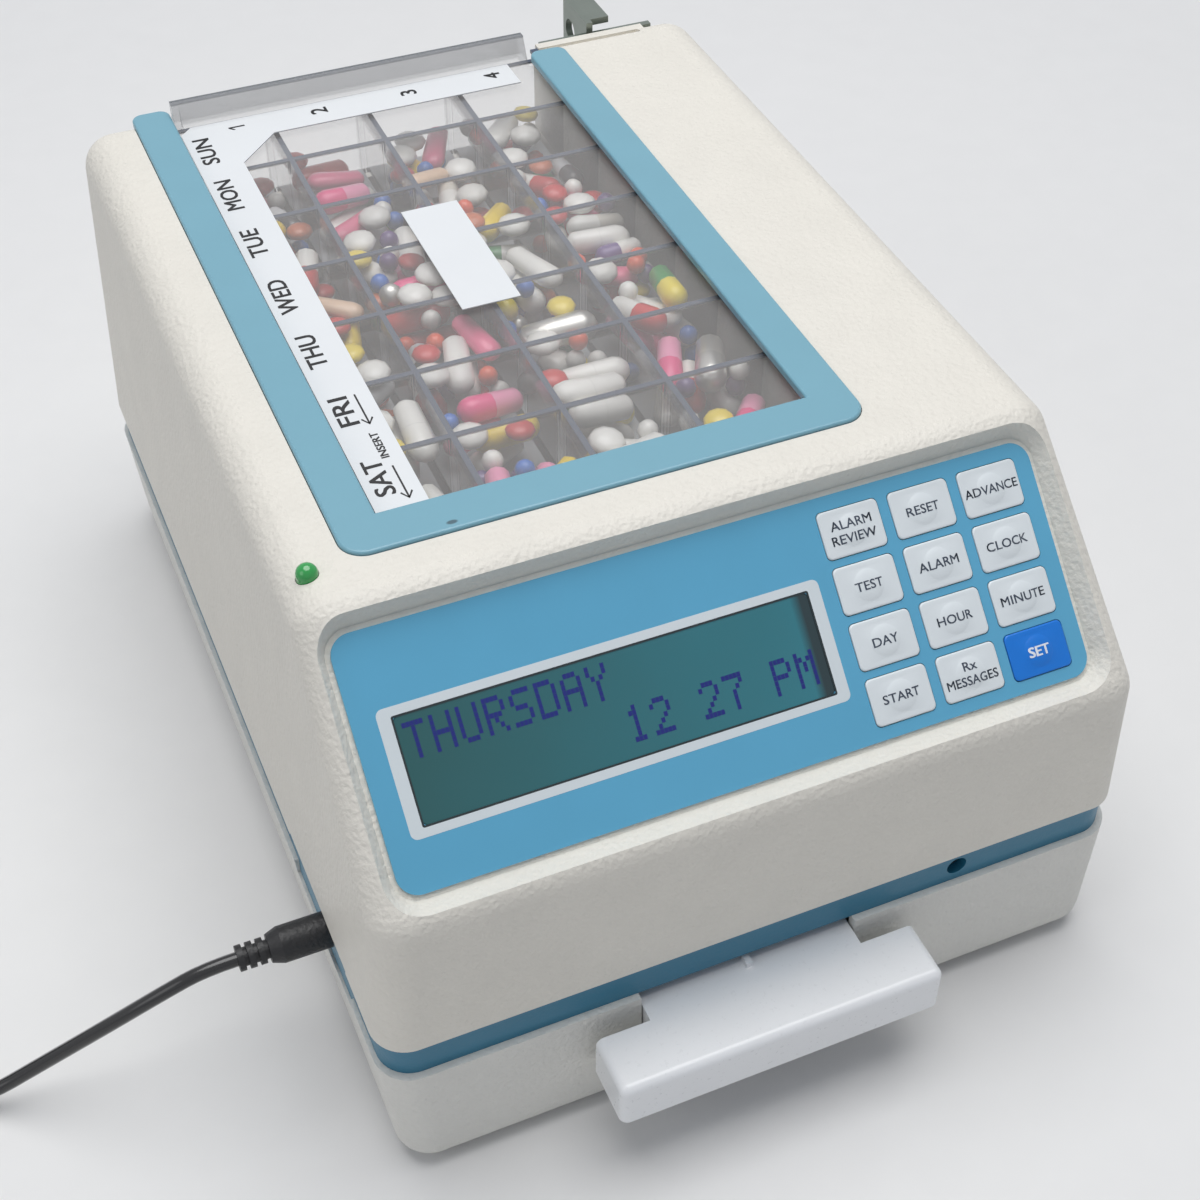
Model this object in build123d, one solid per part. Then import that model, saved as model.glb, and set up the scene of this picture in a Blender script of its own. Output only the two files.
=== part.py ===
from build123d import *
from math import atan2, cos, degrees, hypot, pi, radians, sin, tan
import os

# Automatic pill dispenser: a lower case, a mid frame and an upper case stacked on each other,
# with a pill tray under a slide-in lid, a keypad on a sloping front, a drawer and a drive.
# Millimetres, +Z up, the front faces -Y. Everything is laid out from the top of the table
# (z = 0), the middle of the casing (x = 0) and the ridge between its top and its sloping
# front panel (y = 0). save() moves the layout so that the origin lies under the middle.

# ---------------------------------------------------------------- casing
FOOT_HEIGHT = 1.5
LOWER_DEPTH = 35.3            # height of the lower case
BAND_HEIGHT = 10.4            # height of the mid frame that shows between the cases
CASE_TOP = 136.7              # top face above the table
REAR_Y = 208.3
PANEL_RUN = 51.4              # how far the sloping panel reaches forwards
PANEL_DROP = 48.4             # and how far it comes down
PANEL_LENGTH = hypot(PANEL_RUN, PANEL_DROP)
FRONT_LEAN = 0.6              # the upper front wall leans out this much
LOWER_FRONT_STEP = 0.7        # the lower case stands this much further out
LOWER_FRONT_LEAN = 2.0
WALL = 2.8
CORNER_R = 9.0
FLOOR_EDGE_R = 6.5
LOWER_TOP = FOOT_HEIGHT + LOWER_DEPTH
UPPER_BOTTOM = LOWER_TOP + BAND_HEIGHT
FLOOR_TOP = FOOT_HEIGHT + WALL
FRONT_Y = -PANEL_RUN - FRONT_LEAN
LOWER_FRONT_Y = FRONT_Y - LOWER_FRONT_STEP

# ---------------------------------------------------------------- mid frame
BAND_INSET = 1.1              # the band lies this far behind the faces of the cases
BAND_WALL = 2.6
DECK_THICK = 2.4
LIP_HEIGHT = 3.0              # lips that reach into both cases
LIP_WALL = 1.4
LIP_GAP = 0.4
SOUND_HOLE_X = 50.7
SOUND_HOLE_R = 2.7
SOUND_HOLE_DROP = 5.2         # below the band's top

# ---------------------------------------------------------------- clearances
FIT = 0.1                     # shaft in hole, on the radius
SLIDE_GAP = 0.3               # sliding pieces
SEAT_GAP = 0.2                # pieces that drop into a recess

# ---------------------------------------------------------------- pill tray
COLUMNS = 4
ROWS = 7
COLUMN_PITCH = 27.4
ROW_PITCH = 26.0
DIVIDER = 1.5
TRAY_X = -12.6
TRAY_SETBACK = 3.7            # rear face of the tray in front of the casing's
TRAY_REAR = REAR_Y - TRAY_SETBACK
TRAY_WALL = 2.25              # side walls
TRAY_END_WALL = 1.5
TRAY_LIP_TOP = CASE_TOP - 1.5  # top of the side walls
LID_LIP = 1.0                 # lip of a side wall over the lid
LID_THICK = 1.8
LID_GROOVE = 1.4
LID_GAP = 0.15
TRAY_DEPTH = 27.5
TRAY_BOTTOM = TRAY_LIP_TOP - TRAY_DEPTH
LID_TOP = TRAY_LIP_TOP - LID_LIP - LID_GAP
LID_BOTTOM = LID_TOP - LID_THICK
DIVIDER_TOP = LID_BOTTOM - LID_GAP
TRAY_HALF = COLUMNS * COLUMN_PITCH / 2 - DIVIDER / 2 + TRAY_WALL
CELL_X = COLUMN_PITCH - DIVIDER
CELL_Y = ROW_PITCH - DIVIDER
GRID_REAR = TRAY_REAR - TRAY_END_WALL + DIVIDER / 2
TRAY_FRONT = GRID_REAR - ROWS * ROW_PITCH + DIVIDER / 2 - TRAY_END_WALL
TRAY_LEFT = TRAY_X - TRAY_HALF
TRAY_RIGHT = TRAY_X + TRAY_HALF
FLANGE_THICK = 2.0            # upturned pull flange of the lid
FLANGE_TOP = CASE_TOP + 4.6
FLANGE_RETURN = 4.0

# labels on the lid
LABEL_THICK = 0.3
DAY_STRIP_WIDTH = 12.4
DOSE_STRIP_WIDTH = 11.2
LABEL_CHAMFER = 12.0
LABEL_CORNER = 3.5            # corner cut that clears the flange's return
LABEL_LEFT = TRAY_LEFT + 3.3
LABEL_RIGHT = TRAY_RIGHT - 11.1
LABEL_REAR = TRAY_REAR - FLANGE_THICK - 2.0
LABEL_FRONT = TRAY_FRONT + TRAY_END_WALL + 0.3
PLAIN_LABEL_X = TRAY_X - 1.3
PLAIN_LABEL_Y = (TRAY_REAR + TRAY_FRONT) / 2 + 1.2
PLAIN_LABEL_WIDTH = 15.6
PLAIN_LABEL_LENGTH = 47.2

# trap doors in the floor of the tray
DOOR_THICK = 1.5
DOOR_GAP = 0.3
HINGE_R = 0.7
HINGE_STUB = 0.5
HINGE_SETBACK = 1.3           # hinge line in front of the cell's rear wall
TAIL_WIDTH = 8.0
TAIL_THICK = 1.5
TAIL_DROP = 3.0               # latch tail below the door

# channel of the upper case that carries the tray
RAIL_WALL = 2.0
RAIL_LEDGE = 1.9
LEDGE_THICK = 1.5
TRAY_STOP_GAP = 1.0

# ---------------------------------------------------------------- tray bezel
BEZEL_BESIDE_LEFT = 8.1       # how far it lies on the casing beside the tray
BEZEL_BESIDE_RIGHT = 6.2
BEZEL_BESIDE_FRONT = 9.8
BEZEL_OVER_LEFT = 2.4         # and how far over the edges of the tray
BEZEL_OVER_RIGHT = 4.8
BEZEL_OVER_FRONT = 1.9
BEZEL_LEFT = TRAY_LEFT - BEZEL_BESIDE_LEFT
BEZEL_RIGHT = TRAY_RIGHT + BEZEL_BESIDE_RIGHT
BEZEL_FRONT = TRAY_FRONT - BEZEL_BESIDE_FRONT
BEZEL_INNER_LEFT = TRAY_LEFT + BEZEL_OVER_LEFT
BEZEL_INNER_RIGHT = TRAY_RIGHT - BEZEL_OVER_RIGHT
BEZEL_INNER_FRONT = TRAY_FRONT + BEZEL_OVER_FRONT
BEZEL_LEFT_END = REAR_Y - 0.8
BEZEL_RIGHT_END = REAR_Y - 8.7
BEZEL_THICK = 2.0
BEZEL_PROUD = 0.9
BEZEL_R = 6.0
BEZEL_EDGE_R = 0.7

# ---------------------------------------------------------------- front panel
PANEL_RECESS = 4.0            # face of the overlay below the panel face
OVERLAY_THICK = 0.8
OVERLAY_R = 5.0
OVERLAY_LEFT_MARGIN = 8.95    # overlay left of the window
OVERLAY_RIGHT_MARGIN = 4.38   # and right of the keys
OVERLAY_KEY_MARGIN = 3.34     # and above and below the keys
PANEL_SIDE = 6.65             # top of the casing beside the overlay
RECESS_MARGIN = 1.2           # recess floor around the overlay
RECESS_FLARE = 32.0           # slope of the recess walls, degrees
PANEL_FLOOR = 2.4             # wall under the recess
PANEL_PAD_MARGIN = 8.0        # thicker wall around the recess
KEY_COLUMNS = 3
KEY_ROWS = 4
KEY_PITCH_X = 18.32
KEY_PITCH_S = 13.14
KEY_WIDTH = 15.5
KEY_HEIGHT = 11.1
KEY_R = 1.2
KEY_GAP = 0.15
KEY_PROUD = 0.4
KEY_FLANGE = 0.6              # flange around a key, under the overlay
KEY_FLANGE_THICK = 0.8
KEY_STEM_R = 2.0
KEY_TRAVEL = 0.5
KEY_FIELD_WIDTH = (KEY_COLUMNS - 1) * KEY_PITCH_X + KEY_WIDTH
KEY_FIELD_HEIGHT = (KEY_ROWS - 1) * KEY_PITCH_S + KEY_HEIGHT
KEY_WELL_MARGIN = 1.0
KEY_BOARD_THICK = 1.6
KEY_BOARD_MARGIN_X = 2.4
KEY_BOARD_MARGIN_S = 4.5
DOME_R = 3.5
DOME_HEIGHT = 0.35
WINDOW_WIDTH = 98.0
WINDOW_HEIGHT = 23.6
WINDOW_THICK = 1.6
WINDOW_KEY_GAP = 7.43         # overlay between the window and the keys
WINDOW_R = 1.0
LCD_FRAME_X = 3.0             # metal frame of the display beside the window
LCD_FRAME_S = 3.2             # and above and below it
LCD_BEZEL_WIDTH = WINDOW_WIDTH + 2 * LCD_FRAME_X
LCD_BEZEL_HEIGHT = WINDOW_HEIGHT + 2 * LCD_FRAME_S
LCD_BEZEL_DEPTH = 7.0
LCD_BOARD_WIDTH = LCD_BEZEL_WIDTH + 18.0
LCD_BOARD_HEIGHT = LCD_BEZEL_HEIGHT + 14.0
LCD_BOARD_THICK = 1.6
LCD_SCREW_INSET = 5.0
KEY_NAMES = ["alarm_review", "reset", "advance", "test", "alarm", "clock",
             "day", "hour", "minute", "start", "messages", "set"]

# the overlay is as wide as its window and keys need, and sits at the middle of the slope
OVERLAY_X = -1.0
OVERLAY_WIDTH = (OVERLAY_LEFT_MARGIN + WINDOW_WIDTH + WINDOW_KEY_GAP + KEY_FIELD_WIDTH
                 + OVERLAY_RIGHT_MARGIN)
OVERLAY_HEIGHT = KEY_FIELD_HEIGHT + 2 * OVERLAY_KEY_MARGIN
OVERLAY_S = PANEL_LENGTH / 2 - 0.2   # measured down the panel from the ridge
WINDOW_X = OVERLAY_X - OVERLAY_WIDTH / 2 + OVERLAY_LEFT_MARGIN + WINDOW_WIDTH / 2
WINDOW_S = OVERLAY_S + 3.1
KEY_FIELD_X = OVERLAY_X + OVERLAY_WIDTH / 2 - OVERLAY_RIGHT_MARGIN - KEY_FIELD_WIDTH / 2
KEY_FIELD_S = OVERLAY_S + 0.2

# casing widths: the top takes the panel, and the sides widen towards the parting line
SIDE_DRAFT = 5.2              # how far each side widens from the top down to the mid frame
FLOOR_DRAFT = 2.9             # and narrows again down to the floor
HALF_WIDTH_TOP = OVERLAY_WIDTH / 2 + PANEL_SIDE
HALF_WIDTH_PARTING = HALF_WIDTH_TOP + SIDE_DRAFT
HALF_WIDTH_FLOOR = HALF_WIDTH_PARTING - FLOOR_DRAFT

# alarm lamp
LED_INSET = 6.4
LED_X = LED_INSET - HALF_WIDTH_TOP
LED_Y = 10.8
LED_R = 2.5
LED_FLANGE_R = 2.9
LED_PROUD = 2.6
LED_FLANGE = 1.0
LED_DEPTH = 6.4               # the flange seats this far below the top
LED_LEAD = 0.5
LED_LEAD_LENGTH = 6.0
SLEEVE_WALL = 1.2

# ---------------------------------------------------------------- drawer
DRAWER_X = -6.3
DRAWER_WIDTH = 55.8
DRAWER_NOTCH = DRAWER_WIDTH + 0.8
DRAWER_TOP = LOWER_TOP - 3.2
DRAWER_BOTTOM = FLOOR_TOP + 2.0
DRAWER_REAR = 62.0
DRAWER_WALL = 1.8
HANDLE_WIDTH = 84.2
HANDLE_X = -5.9
HANDLE_REAR = LOWER_FRONT_Y - 4.3
HANDLE_FRONT = HANDLE_REAR - 15.6
HANDLE_HEIGHT = 13.0
HANDLE_WALL = 2.4
HANDLE_R = 2.2
NECK_RIB = 1.6
RUNNER_HEIGHT = 8.0
RUNNER_WALL = 2.0

# ---------------------------------------------------------------- chute and drive
ROD_DROP = 7.2                # rods below the tray
BRACKET_HEIGHT = 13.0
BAR_RISE = 1.9                # carriage bar above the rods' middle
BAR_DROP = 3.0                # and below it
COLLAR_GAP = 1.5              # collar of the chute below the bar
COLLAR_HEIGHT = 14.0
ROD_Z = TRAY_BOTTOM - ROD_DROP
POST_TOP = ROD_Z - BRACKET_HEIGHT / 2
BAR_TOP = ROD_Z + BAR_RISE
BAR_BOTTOM = ROD_Z - BAR_DROP
COLLAR_TOP = BAR_BOTTOM - COLLAR_GAP
COLLAR_BOTTOM = COLLAR_TOP - COLLAR_HEIGHT
CHUTE_WALL = 2.0
CHUTE_LEFT = TRAY_LEFT - 1.6
CHUTE_RIGHT = TRAY_RIGHT + 2.8
CHUTE_FRONT = TRAY_FRONT - 2.1
CHUTE_REAR = TRAY_REAR
THROAT_FRONT = 12.0
THROAT_REAR = 58.0
THROAT_SIDE_GAP = 3.0         # throat inside the drawer's walls
THROAT_BOTTOM = DRAWER_TOP + 1.5
POST_WIDTH = 12.0
POST_DEPTH = 5.0
POST_FRONT_Y = TRAY_FRONT - 28.1
POST_REAR_Y = TRAY_REAR - 21.1
LEFT_ROD_X = TRAY_LEFT - 11.6
SCREW_X = TRAY_RIGHT + 18.3
RIGHT_ROD_X = SCREW_X + 11.0
ROD_R = 2.5
SCREW_R = 3.0
MOTOR_R = 10.8
MOTOR_LENGTH = 15.0
SHAFT_BORE = 7.5              # depth of the screw's end in the motor
CARRIAGE_DEPTH = 6.0
CARRIAGE_HOME = TRAY_FRONT - 22.6   # front face of the carriage bar at rest
COMB_THICK = 0.8
COMB_LIFT = 1.5
FINGER_WIDTH = 6.0
FINGER_STEP = ROW_PITCH / COLUMNS
FINGER_TIP = 1.0              # height of an upturned finger tip
FINGER_FIRST = CARRIAGE_HOME + 4.4  # rear face of the first tip at rest
SOLENOID_X = TRAY_RIGHT + 7.3
SOLENOID_WIDTH = 8.0
SOLENOID_HEIGHT = 6.5
PLUNGER_R = 1.2
BEAM_TOP = POST_TOP - 4.0     # beams between the posts and the collar
BEAM_BOTTOM = BEAM_TOP - 7.0
GUIDE_PIN_R = 1.5

# ---------------------------------------------------------------- electrics
JACK_Y = -8.4
JACK_Z = UPPER_BOTTOM - 5.6
JACK_BODY_WIDTH = 10.0
JACK_BODY_HEIGHT = 10.0
JACK_BODY_LENGTH = 14.0
JACK_INSET = 2.0              # face of the socket behind the band's face
JACK_HOLE_R = 4.0             # hole in the band in front of the socket
JACK_PIN_R = 1.0
CUTOUT_FRONT = JACK_Y - 17.8
CUTOUT_REAR = JACK_Y + 26.7
CUTOUT_DIP = 5.0
BOARD_WIDTH = 104.0
BOARD_DEPTH = 34.0
BOARD_THICK = 1.6
BOARD_X = -10.0
BOARD_Y = FRONT_Y + 28.0
BOARD_STANDOFF = 4.0
PROCESSOR = (18.0, 18.0, 3.0)       # width, depth and height of each block on the board
DRIVER_CHIP = (10.0, 24.0, 4.0)
RELAY = (12.0, 12.0, 10.0)
CONNECTOR = (16.0, 6.0, 8.0)
CAPACITOR_R = 4.0
CAPACITOR_HEIGHT = 11.0
BOARD_PART_MARGIN = 11.0
BOARD_PART_GAP = 5.0
BOARD_SCREW_INSET = 4.0
BUZZER_R = 8.0
BUZZER_LENGTH = 7.0
BUZZER_MOUTH_R = 1.2
BUZZER_MOUTH = 2.0
CELL_R = 7.1
CELL_LENGTH = 50.0
CELL_COUNT = 4
BATTERY_X = -6.3
BATTERY_Y = 138.0
BATTERY_WALL = 1.6
BATTERY_LIP = 2.5
BATTERY_END_GAP = 3.5
BATTERY_DOOR_THICK = 1.8
DOOR_TONGUE = 10.0            # ear of the battery door that takes its screw

# ---------------------------------------------------------------- lock
LOCK_THICK = 2.0
LOCK_LEFT = TRAY_RIGHT + 2.8
LOCK_RIGHT = LOCK_LEFT + 36.0
LOCK_TOP = CASE_TOP - 3.0
LOCK_HEIGHT = 25.0
LOCK_TAB_X = LOCK_LEFT + 14.8  # left face of the padlock tab
LOCK_TAB_REACH = 18.7         # behind the casing
LOCK_TAB_TOP = CASE_TOP + 1.0
LOCK_TAB_HEIGHT = 17.0
LOCK_LEAF = 8.0
LOCK_HOLE_R = 3.5
LOCK_HOLE_INSET = 5.5         # from the rear edge of the tab
LOCK_TRAVEL = 20.0
LOCK_SLOT_DROP = 19.7         # below the top of the plate
LOCK_SLOT_R = 2.1
LOCK_SLOT_EDGE = 2.0
RIVET_R = 2.0
RIVET_PITCH = 8.0
RIVET_HEAD_R = 3.6
RIVET_HEAD = 1.4
RIVET_TAIL = 1.0
GROOVE_RIGHT = TRAY_RIGHT + 31.7
GROOVE_FRONT = TRAY_REAR - 4.4
GROOVE_WIDTH = 3.8
GROOVE_DEPTH = 2.6
GROOVE_PAD = 3.0              # the case top is thicker by this under the groove

# ---------------------------------------------------------------- fasteners and feet
SCREW_SHANK_R = 1.5
SCREW_HEAD_R = 2.8
SCREW_HEAD = 2.2
BOSS_R = 5.5
BOSS_INSET = 8.8              # from the widest casing face
BOSS_FRONT_Y = FRONT_Y + 16.0
BOSS_REAR_Y = REAR_Y - 12.3
BOSS_HEIGHT = 22.0            # of the upper bosses
CASE_SCREW_BITE = 14.0
COUNTERBORE_DEPTH = 6.0
BOARD_SCREW_R = 1.25
BOARD_SCREW_HEAD_R = 2.4
BOARD_SCREW_HEAD = 1.5
BOARD_SCREW_LENGTH = 5.0
KEY_SCREW_BITE = 1.8          # of the key board's screws in the panel
DOOR_SCREW_HEAD = 1.2
DOOR_BOSS = 6.0               # boss over the battery door's screw
DOOR_BOSS_R = 3.0
FOOT_R = 8.0
FOOT_INSET_X = 20.0
FOOT_INSET_Y = 24.0
FOOT_RECESS = 0.8

# ---------------------------------------------------------------- cord
CORD_R = 1.75
PLUG_R = 4.5
PLUG_GRIP = 11.6              # thick part of the plug outside the casing
PLUG_TAPER = 2.9              # and its last part, which narrows
PLUG_TAPER_R = 3.5
PLUG_NECK_R = 3.6
RELIEF_RINGS = 3              # strain relief behind the grip
RELIEF_PITCH = 2.5
RELIEF_RING = 1.5
RELIEF_RING_R = 3.2
RELIEF_CORE_R = 2.3
BARREL_R = 2.75
BARREL_BORE_R = 1.25
BARREL_LENGTH = 9.0
COIL_REACH = 121.5            # middle of the coil beyond the end of the plug
COIL_Y = JACK_Y + 36.4
COIL_MID_R = 20.0
COIL_WIDTH = 14.0
COIL_HEIGHT = 10.5
TIE_THICK = 0.8
TIE_WIDTH = 9.0
ADAPTER_BESIDE = 28.0         # middle of the adapter beyond that of the coil
ADAPTER_FRONT = COIL_Y + 72.0
ADAPTER_WIDTH = 42.0
ADAPTER_LENGTH = 58.0
ADAPTER_HEIGHT = 28.0
ADAPTER_R = 5.0
ADAPTER_CORD_Z = 5.0
BLADE_WIDTH = 6.3
BLADE_THICK = 1.5
BLADE_LENGTH = 17.0
BLADE_SPACING = 12.7

ORIGIN_Y = (REAR_Y + LOCK_TAB_REACH + HANDLE_FRONT) / 2

PANEL_ANGLE = atan2(PANEL_DROP, PANEL_RUN)
PANEL = Plane(origin=(0, 0, CASE_TOP), x_dir=(1, 0, 0), z_dir=(0, -sin(PANEL_ANGLE), cos(PANEL_ANGLE)))


# ---------------------------------------------------------------- helpers
def block(x0, x1, y0, y1, z0, z1):
    """A box between two corners."""
    return Pos((x0 + x1) / 2, (y0 + y1) / 2, (z0 + z1) / 2) * Box(x1 - x0, y1 - y0, z1 - z0)


def rod_x(x0, x1, y, z, radius):
    """A round bar along X."""
    return Pos((x0 + x1) / 2, y, z) * Rot(0, 90, 0) * Cylinder(radius, x1 - x0)


def rod_y(x, y0, y1, z, radius):
    """A round bar along Y."""
    return Pos(x, (y0 + y1) / 2, z) * Rot(90, 0, 0) * Cylinder(radius, y1 - y0)


def rod_z(x, y, z0, z1, radius):
    """A round bar along Z."""
    return Pos(x, y, (z0 + z1) / 2) * Cylinder(radius, z1 - z0)


def on_panel(x, s, out, width, height, thick, radius=0.0):
    """A plate on the sloping panel: s is measured down the panel and out from its face."""
    if radius > 0:
        outline = RectangleRounded(width, height, radius)
    else:
        outline = Rectangle(width, height)
    return PANEL * (Pos(x, -s, out) * extrude(outline, -thick))


def joined(solids):
    """Several separate solids as one shape."""
    return Compound(children=list(solids))


def save(name, shape):
    """Writes one node, moved so that the origin lies under the middle of the object."""
    export_step(Pos(0, -ORIGIN_Y, 0) * shape, f"parts/{name}.step")


def slab(points, half_widths, inset, z_limits):
    """The casing between two heights: a side outline cut by the drafted side walls."""
    (z0, z1), (w0, w1) = z_limits, half_widths
    side = make_face(Polyline(*points, close=True))
    ends = make_face(Polyline((-w0, z0), (w0, z0), (w1, z1), (-w1, z1), close=True))
    if inset:
        side = offset(side, -inset, kind=Kind.INTERSECTION)
        ends = offset(ends, -inset, kind=Kind.INTERSECTION)
    along_x = extrude(Plane.YZ * side, max(half_widths), both=True)
    along_y = extrude(Plane.XZ * ends, 2 * (REAR_Y - FRONT_Y), both=True)
    return along_x & along_y


def rounded(body, radius, flat_z):
    """Rounds every edge of a casing block but those of its open, flat side."""
    return fillet([e for e in body.edges() if e.bounding_box().max.Z > flat_z + 0.01], radius)


# ---------------------------------------------------------------- casing blocks
def side_half_width(z):
    """Half width of the upper case at a height."""
    share = (z - UPPER_BOTTOM) / (CASE_TOP - UPPER_BOTTOM)
    return HALF_WIDTH_PARTING + share * (HALF_WIDTH_TOP - HALF_WIDTH_PARTING)


def upper_block(inset, low):
    """The upper case as a solid that reaches down to low, its faces inset by a wall."""
    bottom = low - inset
    lean = FRONT_LEAN * (CASE_TOP - PANEL_DROP - bottom) / (CASE_TOP - PANEL_DROP - UPPER_BOTTOM)
    points = [(REAR_Y, bottom), (REAR_Y, CASE_TOP), (0, CASE_TOP),
              (-PANEL_RUN, CASE_TOP - PANEL_DROP), (-PANEL_RUN - lean, bottom)]
    body = slab(points, (side_half_width(bottom), HALF_WIDTH_TOP), inset, (bottom, CASE_TOP))
    return rounded(body, CORNER_R - inset, low)


def lower_block(inset, high):
    """The lower case as a solid that reaches up to high, its faces inset by a wall."""
    top = high + inset
    rise = (top - FOOT_HEIGHT) / LOWER_DEPTH
    front_bottom = LOWER_FRONT_Y - LOWER_FRONT_LEAN
    front_top = front_bottom + rise * LOWER_FRONT_LEAN
    width_top = HALF_WIDTH_FLOOR + rise * (HALF_WIDTH_PARTING - HALF_WIDTH_FLOOR)
    points = [(REAR_Y, FOOT_HEIGHT), (REAR_Y, top), (front_top, top), (front_bottom, FOOT_HEIGHT)]
    body = slab(points, (HALF_WIDTH_FLOOR, width_top), inset, (FOOT_HEIGHT, top))
    upright = [e for e in body.edges() if e.bounding_box().max.Z - e.bounding_box().min.Z > 1]
    body = fillet(upright, CORNER_R - inset)
    rim = [e for e in body.edges() if e.bounding_box().max.Z < FOOT_HEIGHT + inset + 0.01]
    return fillet(rim, FLOOR_EDGE_R - inset)


def band_outline(inset):
    """The rounded outline of the mid frame."""
    width = 2 * (HALF_WIDTH_PARTING - inset)
    depth = REAR_Y - FRONT_Y - 2 * inset
    return Pos(0, (REAR_Y + FRONT_Y) / 2) * RectangleRounded(width, depth, CORNER_R - inset / 2)


def band_block(inset, z0, z1):
    """A straight-sided block with the outline of the mid frame."""
    return Pos(0, 0, z0) * extrude(band_outline(inset), z1 - z0)


# places that several pieces share
BOSS_X = HALF_WIDTH_PARTING - BOSS_INSET
BOSS_PLACES = [(sx * BOSS_X, y) for sx in (-1, 1) for y in (BOSS_FRONT_Y, BOSS_REAR_Y)]
FOOT_PLACES = [(sx * (HALF_WIDTH_FLOOR - FOOT_INSET_X), y) for sx in (-1, 1)
               for y in (LOWER_FRONT_Y + FOOT_INSET_Y, REAR_Y - FOOT_INSET_Y)]
CHANNEL_LEFT = TRAY_LEFT - SLIDE_GAP
CHANNEL_RIGHT = TRAY_RIGHT + SLIDE_GAP
CHANNEL_FRONT = TRAY_FRONT - TRAY_STOP_GAP
CHANNEL_BOTTOM = TRAY_BOTTOM - SLIDE_GAP - LEDGE_THICK
COLUMN_X = [TRAY_X + (i - (COLUMNS - 1) / 2) * COLUMN_PITCH for i in range(COLUMNS)]
ROW_Y = [GRID_REAR - (j + 0.5) * ROW_PITCH for j in range(ROWS)]
KEY_PLACES = [(KEY_FIELD_X + (c - (KEY_COLUMNS - 1) / 2) * KEY_PITCH_X,
               KEY_FIELD_S + (r - (KEY_ROWS - 1) / 2) * KEY_PITCH_S)
              for r in range(KEY_ROWS) for c in range(KEY_COLUMNS)]


# ---------------------------------------------------------------- casing pieces
PANEL_FLOOR_OUT = -PANEL_RECESS - OVERLAY_THICK
WELL_WIDTH = KEY_FIELD_WIDTH + 2 * (KEY_FLANGE + KEY_WELL_MARGIN)
WELL_HEIGHT = KEY_FIELD_HEIGHT + 2 * (KEY_FLANGE + KEY_WELL_MARGIN)
BOARD_OUT = PANEL_FLOOR_OUT - PANEL_FLOOR
WINDOW_OUT = -PANEL_RECESS - 0.1
LCD_OUT = WINDOW_OUT - WINDOW_THICK
LCD_BOARD_OUT = LCD_OUT - LCD_BEZEL_DEPTH
KEY_SCREWS = [(KEY_FIELD_X + sx * (WELL_WIDTH / 2 - 2 * BOARD_SCREW_R),
               KEY_FIELD_S + ss * (WELL_HEIGHT / 2 + KEY_BOARD_MARGIN_S / 2))
              for sx in (-1, 1) for ss in (-1, 1)]
LCD_SCREWS = [(WINDOW_X + sx * (LCD_BEZEL_WIDTH / 2 - LCD_SCREW_INSET),
               WINDOW_S + ss * (LCD_BOARD_HEIGHT / 2 - 2 * BOARD_SCREW_R))
              for sx in (-1, 1) for ss in (-1, 1)]
STANDOFF_R = 3.0
LOCK_FRONT = REAR_Y + SLIDE_GAP
LOCK_REAR = LOCK_FRONT + LOCK_THICK
RIVET_Z = LOCK_TOP - LOCK_SLOT_DROP
RIVET_X = [LOCK_LEFT + LOCK_SLOT_EDGE + LOCK_SLOT_R + i * RIVET_PITCH for i in range(2)]
LED_SEAT = CASE_TOP - LED_DEPTH


def panel_pin(x, s, out, length, radius):
    """A round pin that starts at a place on the panel and goes inwards."""
    return PANEL * (Pos(x, -s, out - length / 2) * Cylinder(radius, length))


def bezel_outline(grow):
    """The U of the tray bezel, grown by a gap for its seat."""
    corners = [(BEZEL_LEFT, BEZEL_FRONT), (BEZEL_RIGHT, BEZEL_FRONT), (BEZEL_RIGHT, BEZEL_RIGHT_END),
               (BEZEL_INNER_RIGHT, BEZEL_RIGHT_END), (BEZEL_INNER_RIGHT, BEZEL_INNER_FRONT),
               (BEZEL_INNER_LEFT, BEZEL_INNER_FRONT), (BEZEL_INNER_LEFT, BEZEL_LEFT_END),
               (BEZEL_LEFT, BEZEL_LEFT_END)]
    face = make_face(Polyline(*corners, close=True))
    outer = [v for v in face.vertices() if v.Y < BEZEL_FRONT + 0.1]
    face = fillet(outer, BEZEL_R)
    ends = [v for v in face.vertices() if v.Y > BEZEL_RIGHT_END - 0.1]
    face = fillet(ends, BEZEL_R / 2)
    return offset(face, grow) if grow else face


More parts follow.
